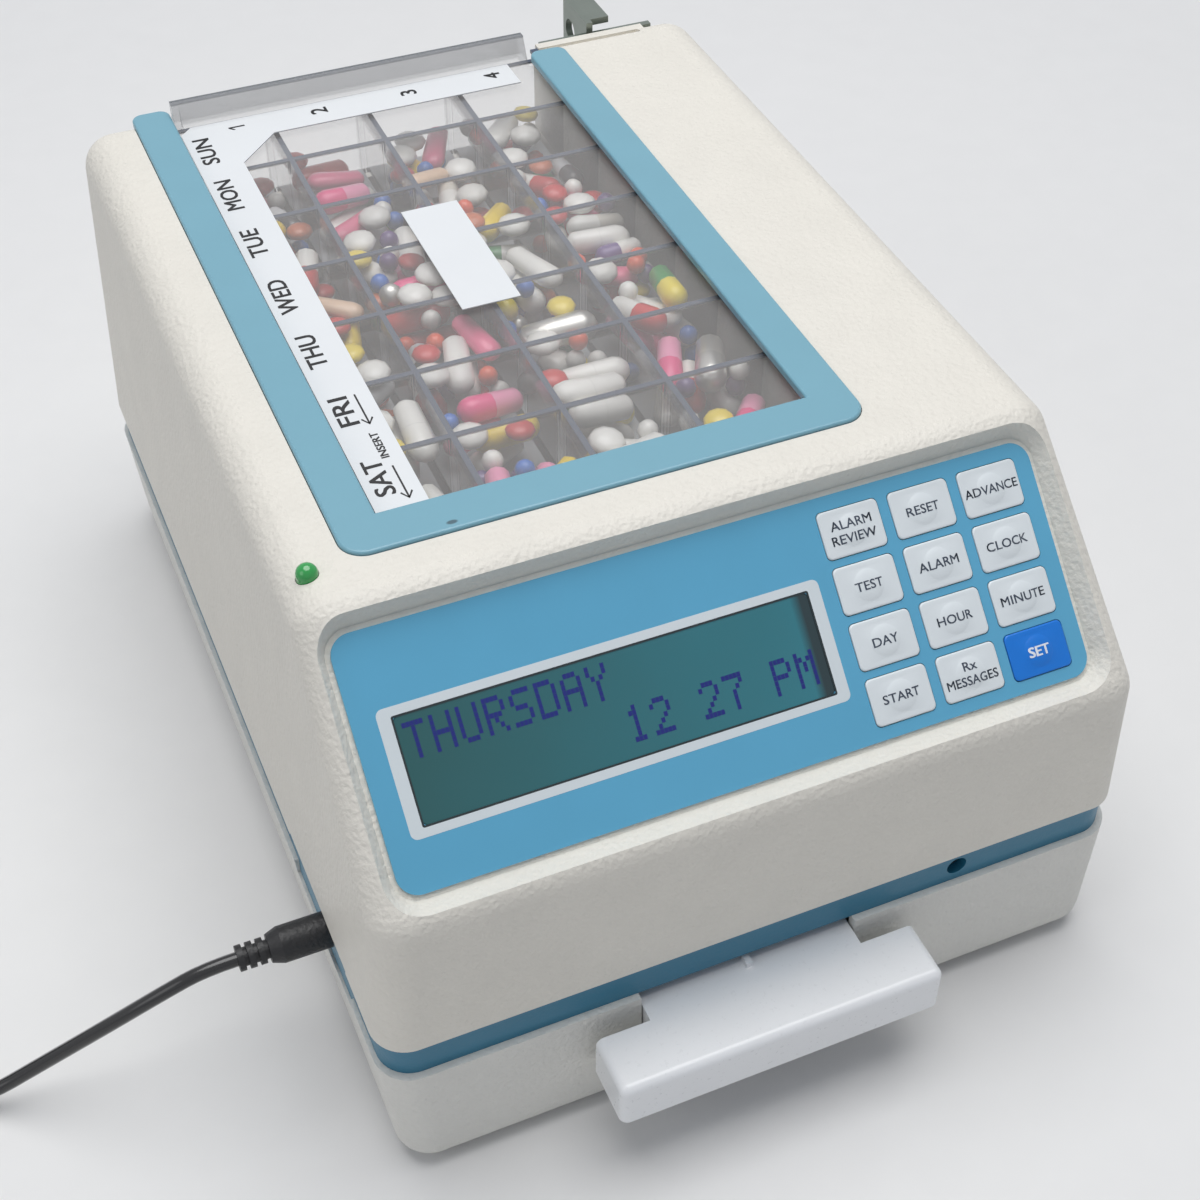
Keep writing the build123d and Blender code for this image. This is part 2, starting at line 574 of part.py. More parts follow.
def upper_case():
    """Top shell: sloping panel with its recess, tray channel, lock groove and bosses."""
    outer = upper_block(0, UPPER_BOTTOM)
    body = outer - upper_block(WALL, UPPER_BOTTOM - 1)
    panel_pad = on_panel(OVERLAY_X, OVERLAY_S, -1, OVERLAY_WIDTH + 2 * PANEL_PAD_MARGIN,
                         OVERLAY_HEIGHT + 2 * PANEL_PAD_MARGIN, -BOARD_OUT - 1)
    channel_block = block(CHANNEL_LEFT - RAIL_WALL, CHANNEL_RIGHT + RAIL_WALL,
                          CHANNEL_FRONT - RAIL_WALL, REAR_Y - WALL / 2, CHANNEL_BOTTOM, CASE_TOP - WALL / 2)
    groove_pad = block(CHANNEL_RIGHT, GROOVE_RIGHT + WALL, GROOVE_FRONT - WALL, REAR_Y - WALL / 2,
                       CASE_TOP - WALL - GROOVE_PAD, CASE_TOP - WALL / 2)
    body += (panel_pad & outer)
    body += channel_block
    body += groove_pad
    for x, y in BOSS_PLACES:
        body += rod_z(x, y, UPPER_BOTTOM, UPPER_BOTTOM + BOSS_HEIGHT, BOSS_R) & outer
    body += rod_z(LED_X, LED_Y, LED_SEAT, CASE_TOP - WALL / 2, LED_R + FIT + SLEEVE_WALL) & outer
    for x, s in LCD_SCREWS:
        body += panel_pin(x, s, BOARD_OUT + 0.5, BOARD_OUT + 0.5 - LCD_BOARD_OUT, STANDOFF_R) & outer
    # recess of the panel, with sloping walls
    depth = -PANEL_FLOOR_OUT
    floor = RectangleRounded(OVERLAY_WIDTH + 2 * RECESS_MARGIN, OVERLAY_HEIGHT + 2 * RECESS_MARGIN,
                             OVERLAY_R + RECESS_MARGIN)
    body -= PANEL * (Pos(OVERLAY_X, -OVERLAY_S, -depth) * extrude(floor, depth + 1, taper=-RECESS_FLARE))
    body -= on_panel(KEY_FIELD_X, KEY_FIELD_S, 0, WELL_WIDTH, WELL_HEIGHT, -BOARD_OUT + 1)
    body -= on_panel(WINDOW_X, WINDOW_S, 0, LCD_BEZEL_WIDTH + 2 * SEAT_GAP, LCD_BEZEL_HEIGHT + 2 * SEAT_GAP,
                     -BOARD_OUT + 1)
    for x, s in KEY_SCREWS:
        body -= panel_pin(x, s, BOARD_OUT + 2, 3, BOARD_SCREW_R + FIT / 2)
    for x, s in LCD_SCREWS:
        body -= panel_pin(x, s, BOARD_OUT, 1 + BOARD_OUT - LCD_BOARD_OUT, BOARD_SCREW_R + FIT / 2)
    # channel for the tray, open at the rear
    body -= block(CHANNEL_LEFT, CHANNEL_RIGHT, CHANNEL_FRONT, REAR_Y + 1,
                  TRAY_BOTTOM - SLIDE_GAP, CASE_TOP + 1)
    body -= block(CHANNEL_LEFT + RAIL_LEDGE, CHANNEL_RIGHT - RAIL_LEDGE, CHANNEL_FRONT - RAIL_WALL - 1,
                  REAR_Y + 1, TRAY_BOTTOM - TAIL_DROP - 1, TRAY_BOTTOM - SLIDE_GAP + 0.1)
    body -= block(CHANNEL_LEFT - RAIL_WALL - 1, CHANNEL_RIGHT + RAIL_WALL + 1, CHANNEL_FRONT - RAIL_WALL - 1,
                  CHANNEL_FRONT, CHANNEL_BOTTOM - 1, TRAY_BOTTOM - SLIDE_GAP + 0.1)
    body -= Pos(0, 0, CASE_TOP + BEZEL_PROUD - BEZEL_THICK) * extrude(bezel_outline(SEAT_GAP), BEZEL_THICK)
    # lock groove, rivet holes, lamp hole, bores of the bosses, relief over the power socket
    body -= block(CHANNEL_RIGHT - 1, GROOVE_RIGHT, GROOVE_FRONT, GROOVE_FRONT + GROOVE_WIDTH,
                  CASE_TOP - GROOVE_DEPTH, CASE_TOP + 1)
    for x in RIVET_X:
        body -= rod_y(x, REAR_Y - 2 * WALL, REAR_Y + 1, RIVET_Z, RIVET_R + FIT / 2)
    body -= rod_z(LED_X, LED_Y, LED_SEAT - 1, CASE_TOP + 1, LED_R + FIT)
    for x, y in BOSS_PLACES:
        body -= rod_z(x, y, UPPER_BOTTOM - 1, UPPER_BOTTOM + CASE_SCREW_BITE + 1, SCREW_SHANK_R + FIT / 2)
    body -= block(-HALF_WIDTH_PARTING - 1, -HALF_WIDTH_PARTING + WALL + 1, CUTOUT_FRONT, CUTOUT_REAR,
                  UPPER_BOTTOM - 1, UPPER_BOTTOM + 1)
    return body


def band_ring(inset, wall, z0, z1):
    """A ring of wall with the outline of the mid frame."""
    return band_block(inset, z0, z1) - band_block(inset + wall, z0 - 1, z1 + 1)


def chute_section(z):
    """Outer limits of the chute's funnel at a height: x0, x1, y0, y1."""
    share = (z - THROAT_BOTTOM) / (COLLAR_BOTTOM - THROAT_BOTTOM)
    half = DRAWER_WIDTH / 2 - DRAWER_WALL - THROAT_SIDE_GAP
    low = (DRAWER_X - half, DRAWER_X + half, THROAT_FRONT, THROAT_REAR)
    high = (CHUTE_LEFT, CHUTE_RIGHT, CHUTE_FRONT, CHUTE_REAR)
    return [a + share * (b - a) for a, b in zip(low, high)]


JACK_FACE = -(HALF_WIDTH_PARTING - BAND_INSET - JACK_INSET)
DECK_BOTTOM = UPPER_BOTTOM - DECK_THICK
BOARD_BOTTOM = UPPER_BOTTOM + BOARD_STANDOFF
BOARD_SCREWS = [(BOARD_X + sx * (BOARD_WIDTH / 2 - BOARD_SCREW_INSET),
                 BOARD_Y + sy * (BOARD_DEPTH / 2 - BOARD_SCREW_INSET))
                for sx in (-1, 1) for sy in (-1, 1)]


def mid_frame():
    """The band between the cases, with the deck that carries the chute and the board."""
    body = band_ring(BAND_INSET, BAND_WALL, LOWER_TOP, UPPER_BOTTOM)
    body += band_block(BAND_INSET + BAND_WALL / 2, DECK_BOTTOM, UPPER_BOTTOM)
    body += band_ring(WALL + LIP_GAP, LIP_WALL, UPPER_BOTTOM - 1, UPPER_BOTTOM + LIP_HEIGHT)
    body += band_ring(WALL + LIP_GAP, LIP_WALL, LOWER_TOP - LIP_HEIGHT, LOWER_TOP + 1)
    skirt = band_ring(BAND_INSET, BAND_WALL, LOWER_TOP - CUTOUT_DIP + SLIDE_GAP, LOWER_TOP + 1)
    body += skirt & block(-HALF_WIDTH_PARTING, 0, CUTOUT_FRONT + SLIDE_GAP, CUTOUT_REAR - SLIDE_GAP,
                          0, CASE_TOP)
    for x, y in BOSS_PLACES:
        body -= rod_z(x, y, UPPER_BOTTOM, UPPER_BOTTOM + LIP_HEIGHT + 1, BOSS_R + SLIDE_GAP)
        body -= rod_z(x, y, LOWER_TOP - LIP_HEIGHT - 1, LOWER_TOP, BOSS_R + SLIDE_GAP)
        body += rod_z(x, y, LOWER_TOP, UPPER_BOTTOM, BOSS_R)
        body -= rod_z(x, y, LOWER_TOP - 1, UPPER_BOTTOM + 1, SCREW_SHANK_R + FIT)
    x0, x1, y0, y1 = chute_section(UPPER_BOTTOM)
    body -= block(x0 - 1, x1 + 1, y0 - 1, y1 + 1, DECK_BOTTOM - 1, UPPER_BOTTOM + 1)
    half_notch = DRAWER_NOTCH / 2 + 1
    body -= block(DRAWER_X - half_notch, DRAWER_X + half_notch, LOWER_FRONT_Y - 1, LOWER_FRONT_Y + 3 * WALL,
                  LOWER_TOP - LIP_HEIGHT - 1, LOWER_TOP)
    body -= rod_y(SOUND_HOLE_X, FRONT_Y - 1, FRONT_Y + 2 * WALL, UPPER_BOTTOM - SOUND_HOLE_DROP,
                  SOUND_HOLE_R)
    body -= rod_x(-HALF_WIDTH_PARTING - 1, JACK_FACE + 2, JACK_Y, JACK_Z, JACK_HOLE_R)
    body -= block(JACK_FACE, JACK_FACE + JACK_BODY_LENGTH, JACK_Y - JACK_BODY_WIDTH / 2 - FIT,
                  JACK_Y + JACK_BODY_WIDTH / 2 + FIT, DECK_BOTTOM - JACK_BODY_HEIGHT - LIP_HEIGHT,
                  DECK_BOTTOM)
    # ribs beside the power socket and stand-offs under the board
    for side in (-1, 1):
        rib_y = JACK_Y + side * (JACK_BODY_WIDTH / 2 + FIT + RUNNER_WALL / 2)
        body += block(JACK_FACE + 1, JACK_FACE + JACK_BODY_LENGTH, rib_y - RUNNER_WALL / 2,
                      rib_y + RUNNER_WALL / 2, DECK_BOTTOM - JACK_BODY_HEIGHT, DECK_BOTTOM + 1)
    for x, y in BOARD_SCREWS:
        body += rod_z(x, y, UPPER_BOTTOM - 1, BOARD_BOTTOM, STANDOFF_R)
        body -= rod_z(x, y, UPPER_BOTTOM, BOARD_BOTTOM + 1, BOARD_SCREW_R + FIT / 2)
    return body


BATTERY_HALF_X = CELL_COUNT * (CELL_R + FIT) + 1
BATTERY_HALF_Y = CELL_LENGTH / 2 + BATTERY_END_GAP
DOOR_SCREW_Y = BATTERY_Y - BATTERY_HALF_Y - DOOR_TONGUE / 2
RUNNER_FRONT = LOWER_FRONT_Y + 3 * WALL


def lower_case():
    """Bottom shell: drawer notch and runners, bosses, battery opening and seats for the feet."""
    outer = lower_block(0, LOWER_TOP)
    body = outer - lower_block(WALL, LOWER_TOP + 1)
    for x, y in BOSS_PLACES:
        body += rod_z(x, y, FLOOR_TOP - WALL / 2, LOWER_TOP, BOSS_R) & outer
        body -= rod_z(x, y, FOOT_HEIGHT - 1, LOWER_TOP + 1, SCREW_SHANK_R + FIT)
        body -= rod_z(x, y, FOOT_HEIGHT - 1, FOOT_HEIGHT + COUNTERBORE_DEPTH, SCREW_HEAD_R + SEAT_GAP)
    side_y = (RUNNER_FRONT, DRAWER_REAR + SLIDE_GAP + RUNNER_WALL)
    for side in (-1, 1):
        guide_x = DRAWER_X + side * (DRAWER_WIDTH / 2 + SLIDE_GAP + RUNNER_WALL / 2)
        body += block(guide_x - RUNNER_WALL / 2, guide_x + RUNNER_WALL / 2, *side_y,
                      FLOOR_TOP - 1, FLOOR_TOP + RUNNER_HEIGHT)
        rail_x = DRAWER_X + side * DRAWER_WIDTH / 3
        body += block(rail_x - RUNNER_WALL / 2, rail_x + RUNNER_WALL / 2, *side_y,
                      FLOOR_TOP - 1, DRAWER_BOTTOM - SEAT_GAP)
    body += block(DRAWER_X - DRAWER_WIDTH / 4, DRAWER_X + DRAWER_WIDTH / 4, DRAWER_REAR + SLIDE_GAP,
                  DRAWER_REAR + SLIDE_GAP + RUNNER_WALL, FLOOR_TOP - 1, FLOOR_TOP + RUNNER_HEIGHT)
    body -= block(DRAWER_X - DRAWER_NOTCH / 2, DRAWER_X + DRAWER_NOTCH / 2, LOWER_FRONT_Y - 5,
                  RUNNER_FRONT, DRAWER_BOTTOM - 2 * SLIDE_GAP, LOWER_TOP + 1)
    body -= block(-HALF_WIDTH_PARTING - 1, -HALF_WIDTH_PARTING + 2 * WALL, CUTOUT_FRONT, CUTOUT_REAR,
                  LOWER_TOP - CUTOUT_DIP, LOWER_TOP + 1)
    body -= block(BATTERY_X - BATTERY_HALF_X, BATTERY_X + BATTERY_HALF_X, BATTERY_Y - BATTERY_HALF_Y,
                  BATTERY_Y + BATTERY_HALF_Y, FOOT_HEIGHT - 1, FLOOR_TOP + 1)
    body += rod_z(BATTERY_X, DOOR_SCREW_Y, FLOOR_TOP - 1, FLOOR_TOP + DOOR_BOSS, DOOR_BOSS_R)
    body -= battery_door_plate(SEAT_GAP, 1)
    body -= rod_z(BATTERY_X, DOOR_SCREW_Y, FOOT_HEIGHT, FLOOR_TOP + DOOR_BOSS - 1, BOARD_SCREW_R + FIT / 2)
    for x, y in FOOT_PLACES:
        body -= rod_z(x, y, FOOT_HEIGHT - 1, FOOT_HEIGHT + FOOT_RECESS, FOOT_R + SEAT_GAP)
    return body


def battery_door_plate(gap, extra):
    """The plate of the battery door, or the recess that it lies in."""
    half_x = BATTERY_HALF_X + BATTERY_LIP + gap
    half_y = BATTERY_HALF_Y + BATTERY_LIP + gap
    ear = DOOR_TONGUE / 2 + gap
    plate = block(BATTERY_X - half_x, BATTERY_X + half_x, BATTERY_Y - half_y, BATTERY_Y + half_y,
                  FOOT_HEIGHT - extra, FOOT_HEIGHT + BATTERY_DOOR_THICK)
    return plate + block(BATTERY_X - ear, BATTERY_X + ear, DOOR_SCREW_Y - ear, BATTERY_Y,
                         FOOT_HEIGHT - extra, FOOT_HEIGHT + BATTERY_DOOR_THICK)


def tray_bezel():
    """The coloured U around the tray window, with softly rounded edges."""
    body = Pos(0, 0, CASE_TOP + BEZEL_PROUD - BEZEL_THICK) * extrude(bezel_outline(0), BEZEL_THICK)
    return fillet(body.faces().sort_by(Axis.Z)[-1].edges(), BEZEL_EDGE_R)


# ---------------------------------------------------------------- front panel pieces
def panel_overlay():
    """The printed face plate, with windows for the keys and the display."""
    body = on_panel(OVERLAY_X, OVERLAY_S, -PANEL_RECESS, OVERLAY_WIDTH, OVERLAY_HEIGHT, OVERLAY_THICK,
                    OVERLAY_R)
    for x, s in KEY_PLACES:
        body -= on_panel(x, s, -PANEL_RECESS + 1, KEY_WIDTH + 2 * KEY_GAP, KEY_HEIGHT + 2 * KEY_GAP,
                         OVERLAY_THICK + 2, KEY_R + KEY_GAP)
    body -= on_panel(WINDOW_X, WINDOW_S, -PANEL_RECESS + 1, WINDOW_WIDTH + 2 * KEY_GAP,
                     WINDOW_HEIGHT + 2 * KEY_GAP, OVERLAY_THICK + 2, WINDOW_R + KEY_GAP)
    return body


KEY_FLANGE_OUT = PANEL_FLOOR_OUT - KEY_GAP
KEY_STEM_OUT = KEY_FLANGE_OUT - KEY_FLANGE_THICK
STEM_LENGTH = KEY_STEM_OUT - (BOARD_OUT + DOME_HEIGHT + KEY_TRAVEL + 0.05)


def key(x, s):
    """One key: a pad that shows, a flange under the overlay and a stem over its dome."""
    body = on_panel(x, s, -PANEL_RECESS + KEY_PROUD, KEY_WIDTH, KEY_HEIGHT,
                    -KEY_FLANGE_OUT - PANEL_RECESS + KEY_PROUD + KEY_FLANGE_THICK / 2, KEY_R)
    body += on_panel(x, s, KEY_FLANGE_OUT, KEY_WIDTH + 2 * KEY_FLANGE, KEY_HEIGHT + 2 * KEY_FLANGE,
                     KEY_FLANGE_THICK, KEY_R + KEY_FLANGE)
    return body + panel_pin(x, s, KEY_STEM_OUT, STEM_LENGTH, KEY_STEM_R)


def keypad_board():
    """The board behind the keys."""
    body = on_panel(KEY_FIELD_X, KEY_FIELD_S, BOARD_OUT, WELL_WIDTH + 2 * KEY_BOARD_MARGIN_X,
                    WELL_HEIGHT + 2 * KEY_BOARD_MARGIN_S, KEY_BOARD_THICK)
    for x, s in KEY_SCREWS:
        body -= panel_pin(x, s, BOARD_OUT + 1, KEY_BOARD_THICK + 2, BOARD_SCREW_R + FIT)
    return body


def dome_switches():
    """One snap dome under each key."""
    return joined(panel_pin(x, s, BOARD_OUT + DOME_HEIGHT, DOME_HEIGHT, DOME_R) for x, s in KEY_PLACES)


def lcd_window():
    """The clear window over the display."""
    return on_panel(WINDOW_X, WINDOW_S, WINDOW_OUT, WINDOW_WIDTH, WINDOW_HEIGHT, WINDOW_THICK, WINDOW_R)


def lcd_module():
    """The display module: a metal frame on its board."""
    body = on_panel(WINDOW_X, WINDOW_S, LCD_OUT, LCD_BEZEL_WIDTH, LCD_BEZEL_HEIGHT, LCD_BEZEL_DEPTH)
    body += on_panel(WINDOW_X, WINDOW_S, LCD_BOARD_OUT, LCD_BOARD_WIDTH, LCD_BOARD_HEIGHT, LCD_BOARD_THICK)
    for x, s in LCD_SCREWS:
        body -= panel_pin(x, s, LCD_BOARD_OUT + 1, LCD_BOARD_THICK + 2, BOARD_SCREW_R + FIT)
    return body


def led_lamp():
    """The round alarm lamp in the top, with its two leads."""
    dome_z = CASE_TOP + LED_PROUD - LED_R
    body = rod_z(LED_X, LED_Y, LED_SEAT - LED_FLANGE, LED_SEAT, LED_FLANGE_R)
    body += rod_z(LED_X, LED_Y, LED_SEAT - LED_FLANGE, dome_z, LED_R)
    body += Pos(LED_X, LED_Y, dome_z) * Sphere(LED_R)
    for side in (-1, 1):
        lead_x = LED_X + side * LED_R / 2
        body += block(lead_x - LED_LEAD / 2, lead_x + LED_LEAD / 2, LED_Y - LED_LEAD / 2,
                      LED_Y + LED_LEAD / 2, LED_SEAT - LED_FLANGE - LED_LEAD_LENGTH, LED_SEAT)
    return body


# ---------------------------------------------------------------- tray, lid and doors
def hinge_y(row_y):
    """The hinge line of the doors of a row."""
    return row_y + CELL_Y / 2 - HINGE_SETBACK


DOOR_AXIS_Z = TRAY_BOTTOM + DOOR_THICK / 2


def pill_tray():
    """The clear tray: a grid of cells with open floors, and side walls that carry the lid."""
    x0, x1 = TRAY_X - TRAY_HALF, TRAY_X + TRAY_HALF
    body = block(x0, x1, TRAY_FRONT, TRAY_REAR, TRAY_BOTTOM, TRAY_LIP_TOP)
    inner = TRAY_HALF - TRAY_WALL
    body -= block(TRAY_X - inner, TRAY_X + inner, TRAY_FRONT + TRAY_END_WALL, TRAY_REAR + 1,
                  DIVIDER_TOP, TRAY_LIP_TOP + 1)
    body -= block(TRAY_X - inner - LID_GROOVE, TRAY_X + inner + LID_GROOVE, TRAY_FRONT + TRAY_END_WALL,
                  TRAY_REAR + 1, DIVIDER_TOP, TRAY_LIP_TOP - LID_LIP)
    for y in ROW_Y:
        for x in COLUMN_X:
            body -= block(x - CELL_X / 2, x + CELL_X / 2, y - CELL_Y / 2, y + CELL_Y / 2,
                          TRAY_BOTTOM - 1, TRAY_LIP_TOP)
            socket = CELL_X / 2 + HINGE_STUB + FIT / 2
            body -= rod_x(x - socket, x + socket, hinge_y(y), DOOR_AXIS_Z, HINGE_R + FIT / 2)
    return body


def trap_door(x, y):
    """The floor of one cell: a plate with hinge stubs and a latch tail."""
    half = CELL_X / 2 - DOOR_GAP
    front = y - CELL_Y / 2 + DOOR_GAP
    axis_y = hinge_y(y)
    body = block(x - half, x + half, front, axis_y, TRAY_BOTTOM, TRAY_BOTTOM + DOOR_THICK)
    body += rod_x(x - half, x + half, axis_y, DOOR_AXIS_Z, DOOR_THICK / 2)
    stub = CELL_X / 2 + HINGE_STUB
    body += rod_x(x - stub, x + stub, axis_y, DOOR_AXIS_Z, HINGE_R)
    return body + block(x - TAIL_WIDTH / 2, x + TAIL_WIDTH / 2, front, front + TAIL_THICK,
                        TRAY_BOTTOM - TAIL_DROP, TRAY_BOTTOM + DOOR_THICK / 2)


def tray_lid():
    """The clear lid that slides in over the cells, with its upturned pull flange."""
    half = TRAY_HALF - TRAY_WALL + LID_GROOVE - LID_GAP
    shoulder = TRAY_REAR - FLANGE_THICK - FLANGE_RETURN - 1
    left, right = BEZEL_INNER_LEFT + SLIDE_GAP, BEZEL_INNER_RIGHT - SLIDE_GAP
    body = block(TRAY_X - half, TRAY_X + half, TRAY_FRONT + TRAY_END_WALL + LID_GAP, shoulder,
                 LID_BOTTOM, LID_TOP)
    body += block(left, right, shoulder - 1, TRAY_REAR, LID_BOTTOM, LID_TOP)
    body += block(left, right, TRAY_REAR - FLANGE_THICK, TRAY_REAR, LID_BOTTOM, FLANGE_TOP)
    for x in (left, right - FLANGE_THICK):
        gusset = make_face(Polyline((TRAY_REAR - FLANGE_THICK - FLANGE_RETURN, LID_TOP - 0.5),
                                    (TRAY_REAR - 1, LID_TOP - 0.5), (TRAY_REAR - 1, FLANGE_TOP),
                                    (TRAY_REAR - FLANGE_THICK, FLANGE_TOP), close=True))
        body += Pos(x, 0, 0) * extrude(Plane.YZ * gusset, FLANGE_THICK)
    return body


def day_label():
    """The L-shaped label along the left and the rear of the lid."""
    left, rear = LABEL_LEFT, LABEL_REAR
    inner_x, inner_y = left + DAY_STRIP_WIDTH, rear - DOSE_STRIP_WIDTH
    outline = make_face(Polyline((left, LABEL_FRONT), (inner_x, LABEL_FRONT),
                                 (inner_x, inner_y - LABEL_CHAMFER),
                                 (inner_x + LABEL_CHAMFER, inner_y), (LABEL_RIGHT, inner_y),
                                 (LABEL_RIGHT, rear), (left + LABEL_CORNER, rear),
                                 (left, rear - LABEL_CORNER), close=True))
    return Pos(0, 0, LID_TOP) * extrude(outline, LABEL_THICK)


def plain_label():
    """The small bare label in the middle of the lid."""
    return block(PLAIN_LABEL_X - PLAIN_LABEL_WIDTH / 2, PLAIN_LABEL_X + PLAIN_LABEL_WIDTH / 2,
                 PLAIN_LABEL_Y - PLAIN_LABEL_LENGTH / 2, PLAIN_LABEL_Y + PLAIN_LABEL_LENGTH / 2,
                 LID_TOP, LID_TOP + LABEL_THICK)


# ---------------------------------------------------------------- drawer
NECK_REAR = LOWER_FRONT_Y + WALL + 1


def drawer():
    """The drawer that collects the pills: a cup, a neck through the front and a wide grip."""
    half = DRAWER_WIDTH / 2
    x0, x1 = DRAWER_X - half, DRAWER_X + half
    body = block(x0, x1, HANDLE_REAR - 1, DRAWER_REAR, DRAWER_BOTTOM, DRAWER_TOP)
    body -= block(x0 + DRAWER_WALL, x1 - DRAWER_WALL, NECK_REAR, DRAWER_REAR - DRAWER_WALL,
                  DRAWER_BOTTOM + DRAWER_WALL, DRAWER_TOP + 1)
    body -= block(x0 + HANDLE_WALL, x1 - HANDLE_WALL, HANDLE_REAR - 2, NECK_REAR - DRAWER_WALL,
                  DRAWER_BOTTOM - 1, DRAWER_TOP - HANDLE_WALL)
    grip = block(HANDLE_X - HANDLE_WIDTH / 2, HANDLE_X + HANDLE_WIDTH / 2, HANDLE_FRONT, HANDLE_REAR,
                 DRAWER_TOP - HANDLE_HEIGHT, DRAWER_TOP)
    soft = [e for e in grip.edges() if e.bounding_box().max.Z > DRAWER_TOP - 0.01
            and e.bounding_box().min.Y < HANDLE_REAR - 0.01]
    soft += [e for e in grip.edges().filter_by(Axis.Z) if e.bounding_box().max.Y < HANDLE_REAR - 0.01]
    grip = fillet(soft, HANDLE_R)
    grip -= block(HANDLE_X - HANDLE_WIDTH / 2 + HANDLE_WALL, HANDLE_X + HANDLE_WIDTH / 2 - HANDLE_WALL,
                  HANDLE_FRONT + HANDLE_WALL, HANDLE_REAR - HANDLE_WALL, 0, DRAWER_TOP - HANDLE_WALL)
    body += grip
    body += block(DRAWER_X - NECK_RIB / 2, DRAWER_X + NECK_RIB / 2, LOWER_FRONT_Y, NECK_REAR - 1,
                  DRAWER_TOP - 1, DRAWER_TOP + NECK_RIB)
    return body


# ---------------------------------------------------------------- chute and drive
def frustum(z0, z1, inset):
    """The funnel between two heights as a solid, its walls inset."""
    rings = []
    for z in (z0, z1):
        x0, x1, y0, y1 = chute_section(z)
        ring = Pos((x0 + x1) / 2, (y0 + y1) / 2, z) * Rectangle(x1 - x0 - 2 * inset, y1 - y0 - 2 * inset)
        rings.append(ring)
    return loft(rings)


POST_LEFT = (LEFT_ROD_X - POST_WIDTH / 2, LEFT_ROD_X + POST_WIDTH / 2)
POST_RIGHT = (SCREW_X - POST_WIDTH / 2, RIGHT_ROD_X + POST_WIDTH / 2)
POST_SPANS = [(x, y) for x in (POST_LEFT, POST_RIGHT) for y in (POST_FRONT_Y, POST_REAR_Y)]


def pill_chute():
    """The funnel under the tray, with the posts that carry the drive."""
    collar = block(CHUTE_LEFT, CHUTE_RIGHT, CHUTE_FRONT, CHUTE_REAR, COLLAR_BOTTOM - 0.01, COLLAR_TOP)
    body = frustum(THROAT_BOTTOM, COLLAR_BOTTOM, 0) + collar
    body -= frustum(THROAT_BOTTOM - 1, COLLAR_BOTTOM, CHUTE_WALL)
    body -= block(CHUTE_LEFT + CHUTE_WALL, CHUTE_RIGHT - CHUTE_WALL, CHUTE_FRONT + CHUTE_WALL,
                  CHUTE_REAR - CHUTE_WALL, COLLAR_BOTTOM - 0.1, COLLAR_TOP + 1)
    for (x0, x1), y in POST_SPANS:
        body += block(x0, x1, y, y + POST_DEPTH, UPPER_BOTTOM, POST_TOP)
    for y0, y1 in ((POST_FRONT_Y, CHUTE_FRONT + CHUTE_WALL), (POST_REAR_Y, POST_REAR_Y + POST_DEPTH)):
        body += block(POST_LEFT[1] - 1, CHUTE_LEFT + CHUTE_WALL / 2, y0, y1, BEAM_BOTTOM, BEAM_TOP)
        body += block(CHUTE_RIGHT - CHUTE_WALL / 2, POST_RIGHT[0] + 1, y0, y1, BEAM_BOTTOM, BEAM_TOP)
    return body


def rod_brackets():
    """The blocks on the posts that hold the rods and the ends of the lead screw."""
    blocks = []
    for (x0, x1), y in POST_SPANS:
        piece = block(x0, x1, y, y + POST_DEPTH, POST_TOP, POST_TOP + BRACKET_HEIGHT)
        for rod_place, radius in ((LEFT_ROD_X, ROD_R), (RIGHT_ROD_X, ROD_R), (SCREW_X, SCREW_R)):
            piece -= rod_y(rod_place, y - 1, y + POST_DEPTH + 1, ROD_Z, radius + FIT)
        blocks.append(piece)
    return joined(blocks)


def guide_rods():
    """The two steel rods that the carriage runs on."""
    return joined(rod_y(x, POST_FRONT_Y, POST_REAR_Y + POST_DEPTH, ROD_Z, ROD_R)
                  for x in (LEFT_ROD_X, RIGHT_ROD_X))


def drive_motor():
    """The motor behind the rear bracket, with a bore for the end of the lead screw."""
    front = POST_REAR_Y + POST_DEPTH
    body = rod_y(SCREW_X, front, front + MOTOR_LENGTH, ROD_Z, MOTOR_R)
    body += block(SCREW_X - MOTOR_R / 2, SCREW_X + MOTOR_R / 2, front + 3, front + MOTOR_LENGTH - 3,
                  ROD_Z - MOTOR_R - 2, ROD_Z)
    return body - rod_y(SCREW_X, front - 1, front + SHAFT_BORE, ROD_Z, SCREW_R + FIT)


def lead_screw():
    """The screw that drives the carriage, one piece with the motor's shaft."""
    return rod_y(SCREW_X, POST_FRONT_Y, POST_REAR_Y + POST_DEPTH + SHAFT_BORE - SLIDE_GAP, ROD_Z, SCREW_R)


BLOCK_MARGIN = 3.0
CARRIAGE_REAR = CARRIAGE_HOME + CARRIAGE_DEPTH
COMB_BOTTOM = BAR_TOP
GUIDE_PINS = (TRAY_X - COLUMN_PITCH, TRAY_X + COLUMN_PITCH)
GUIDE_PIN_Y = CARRIAGE_HOME + CARRIAGE_DEPTH / 2


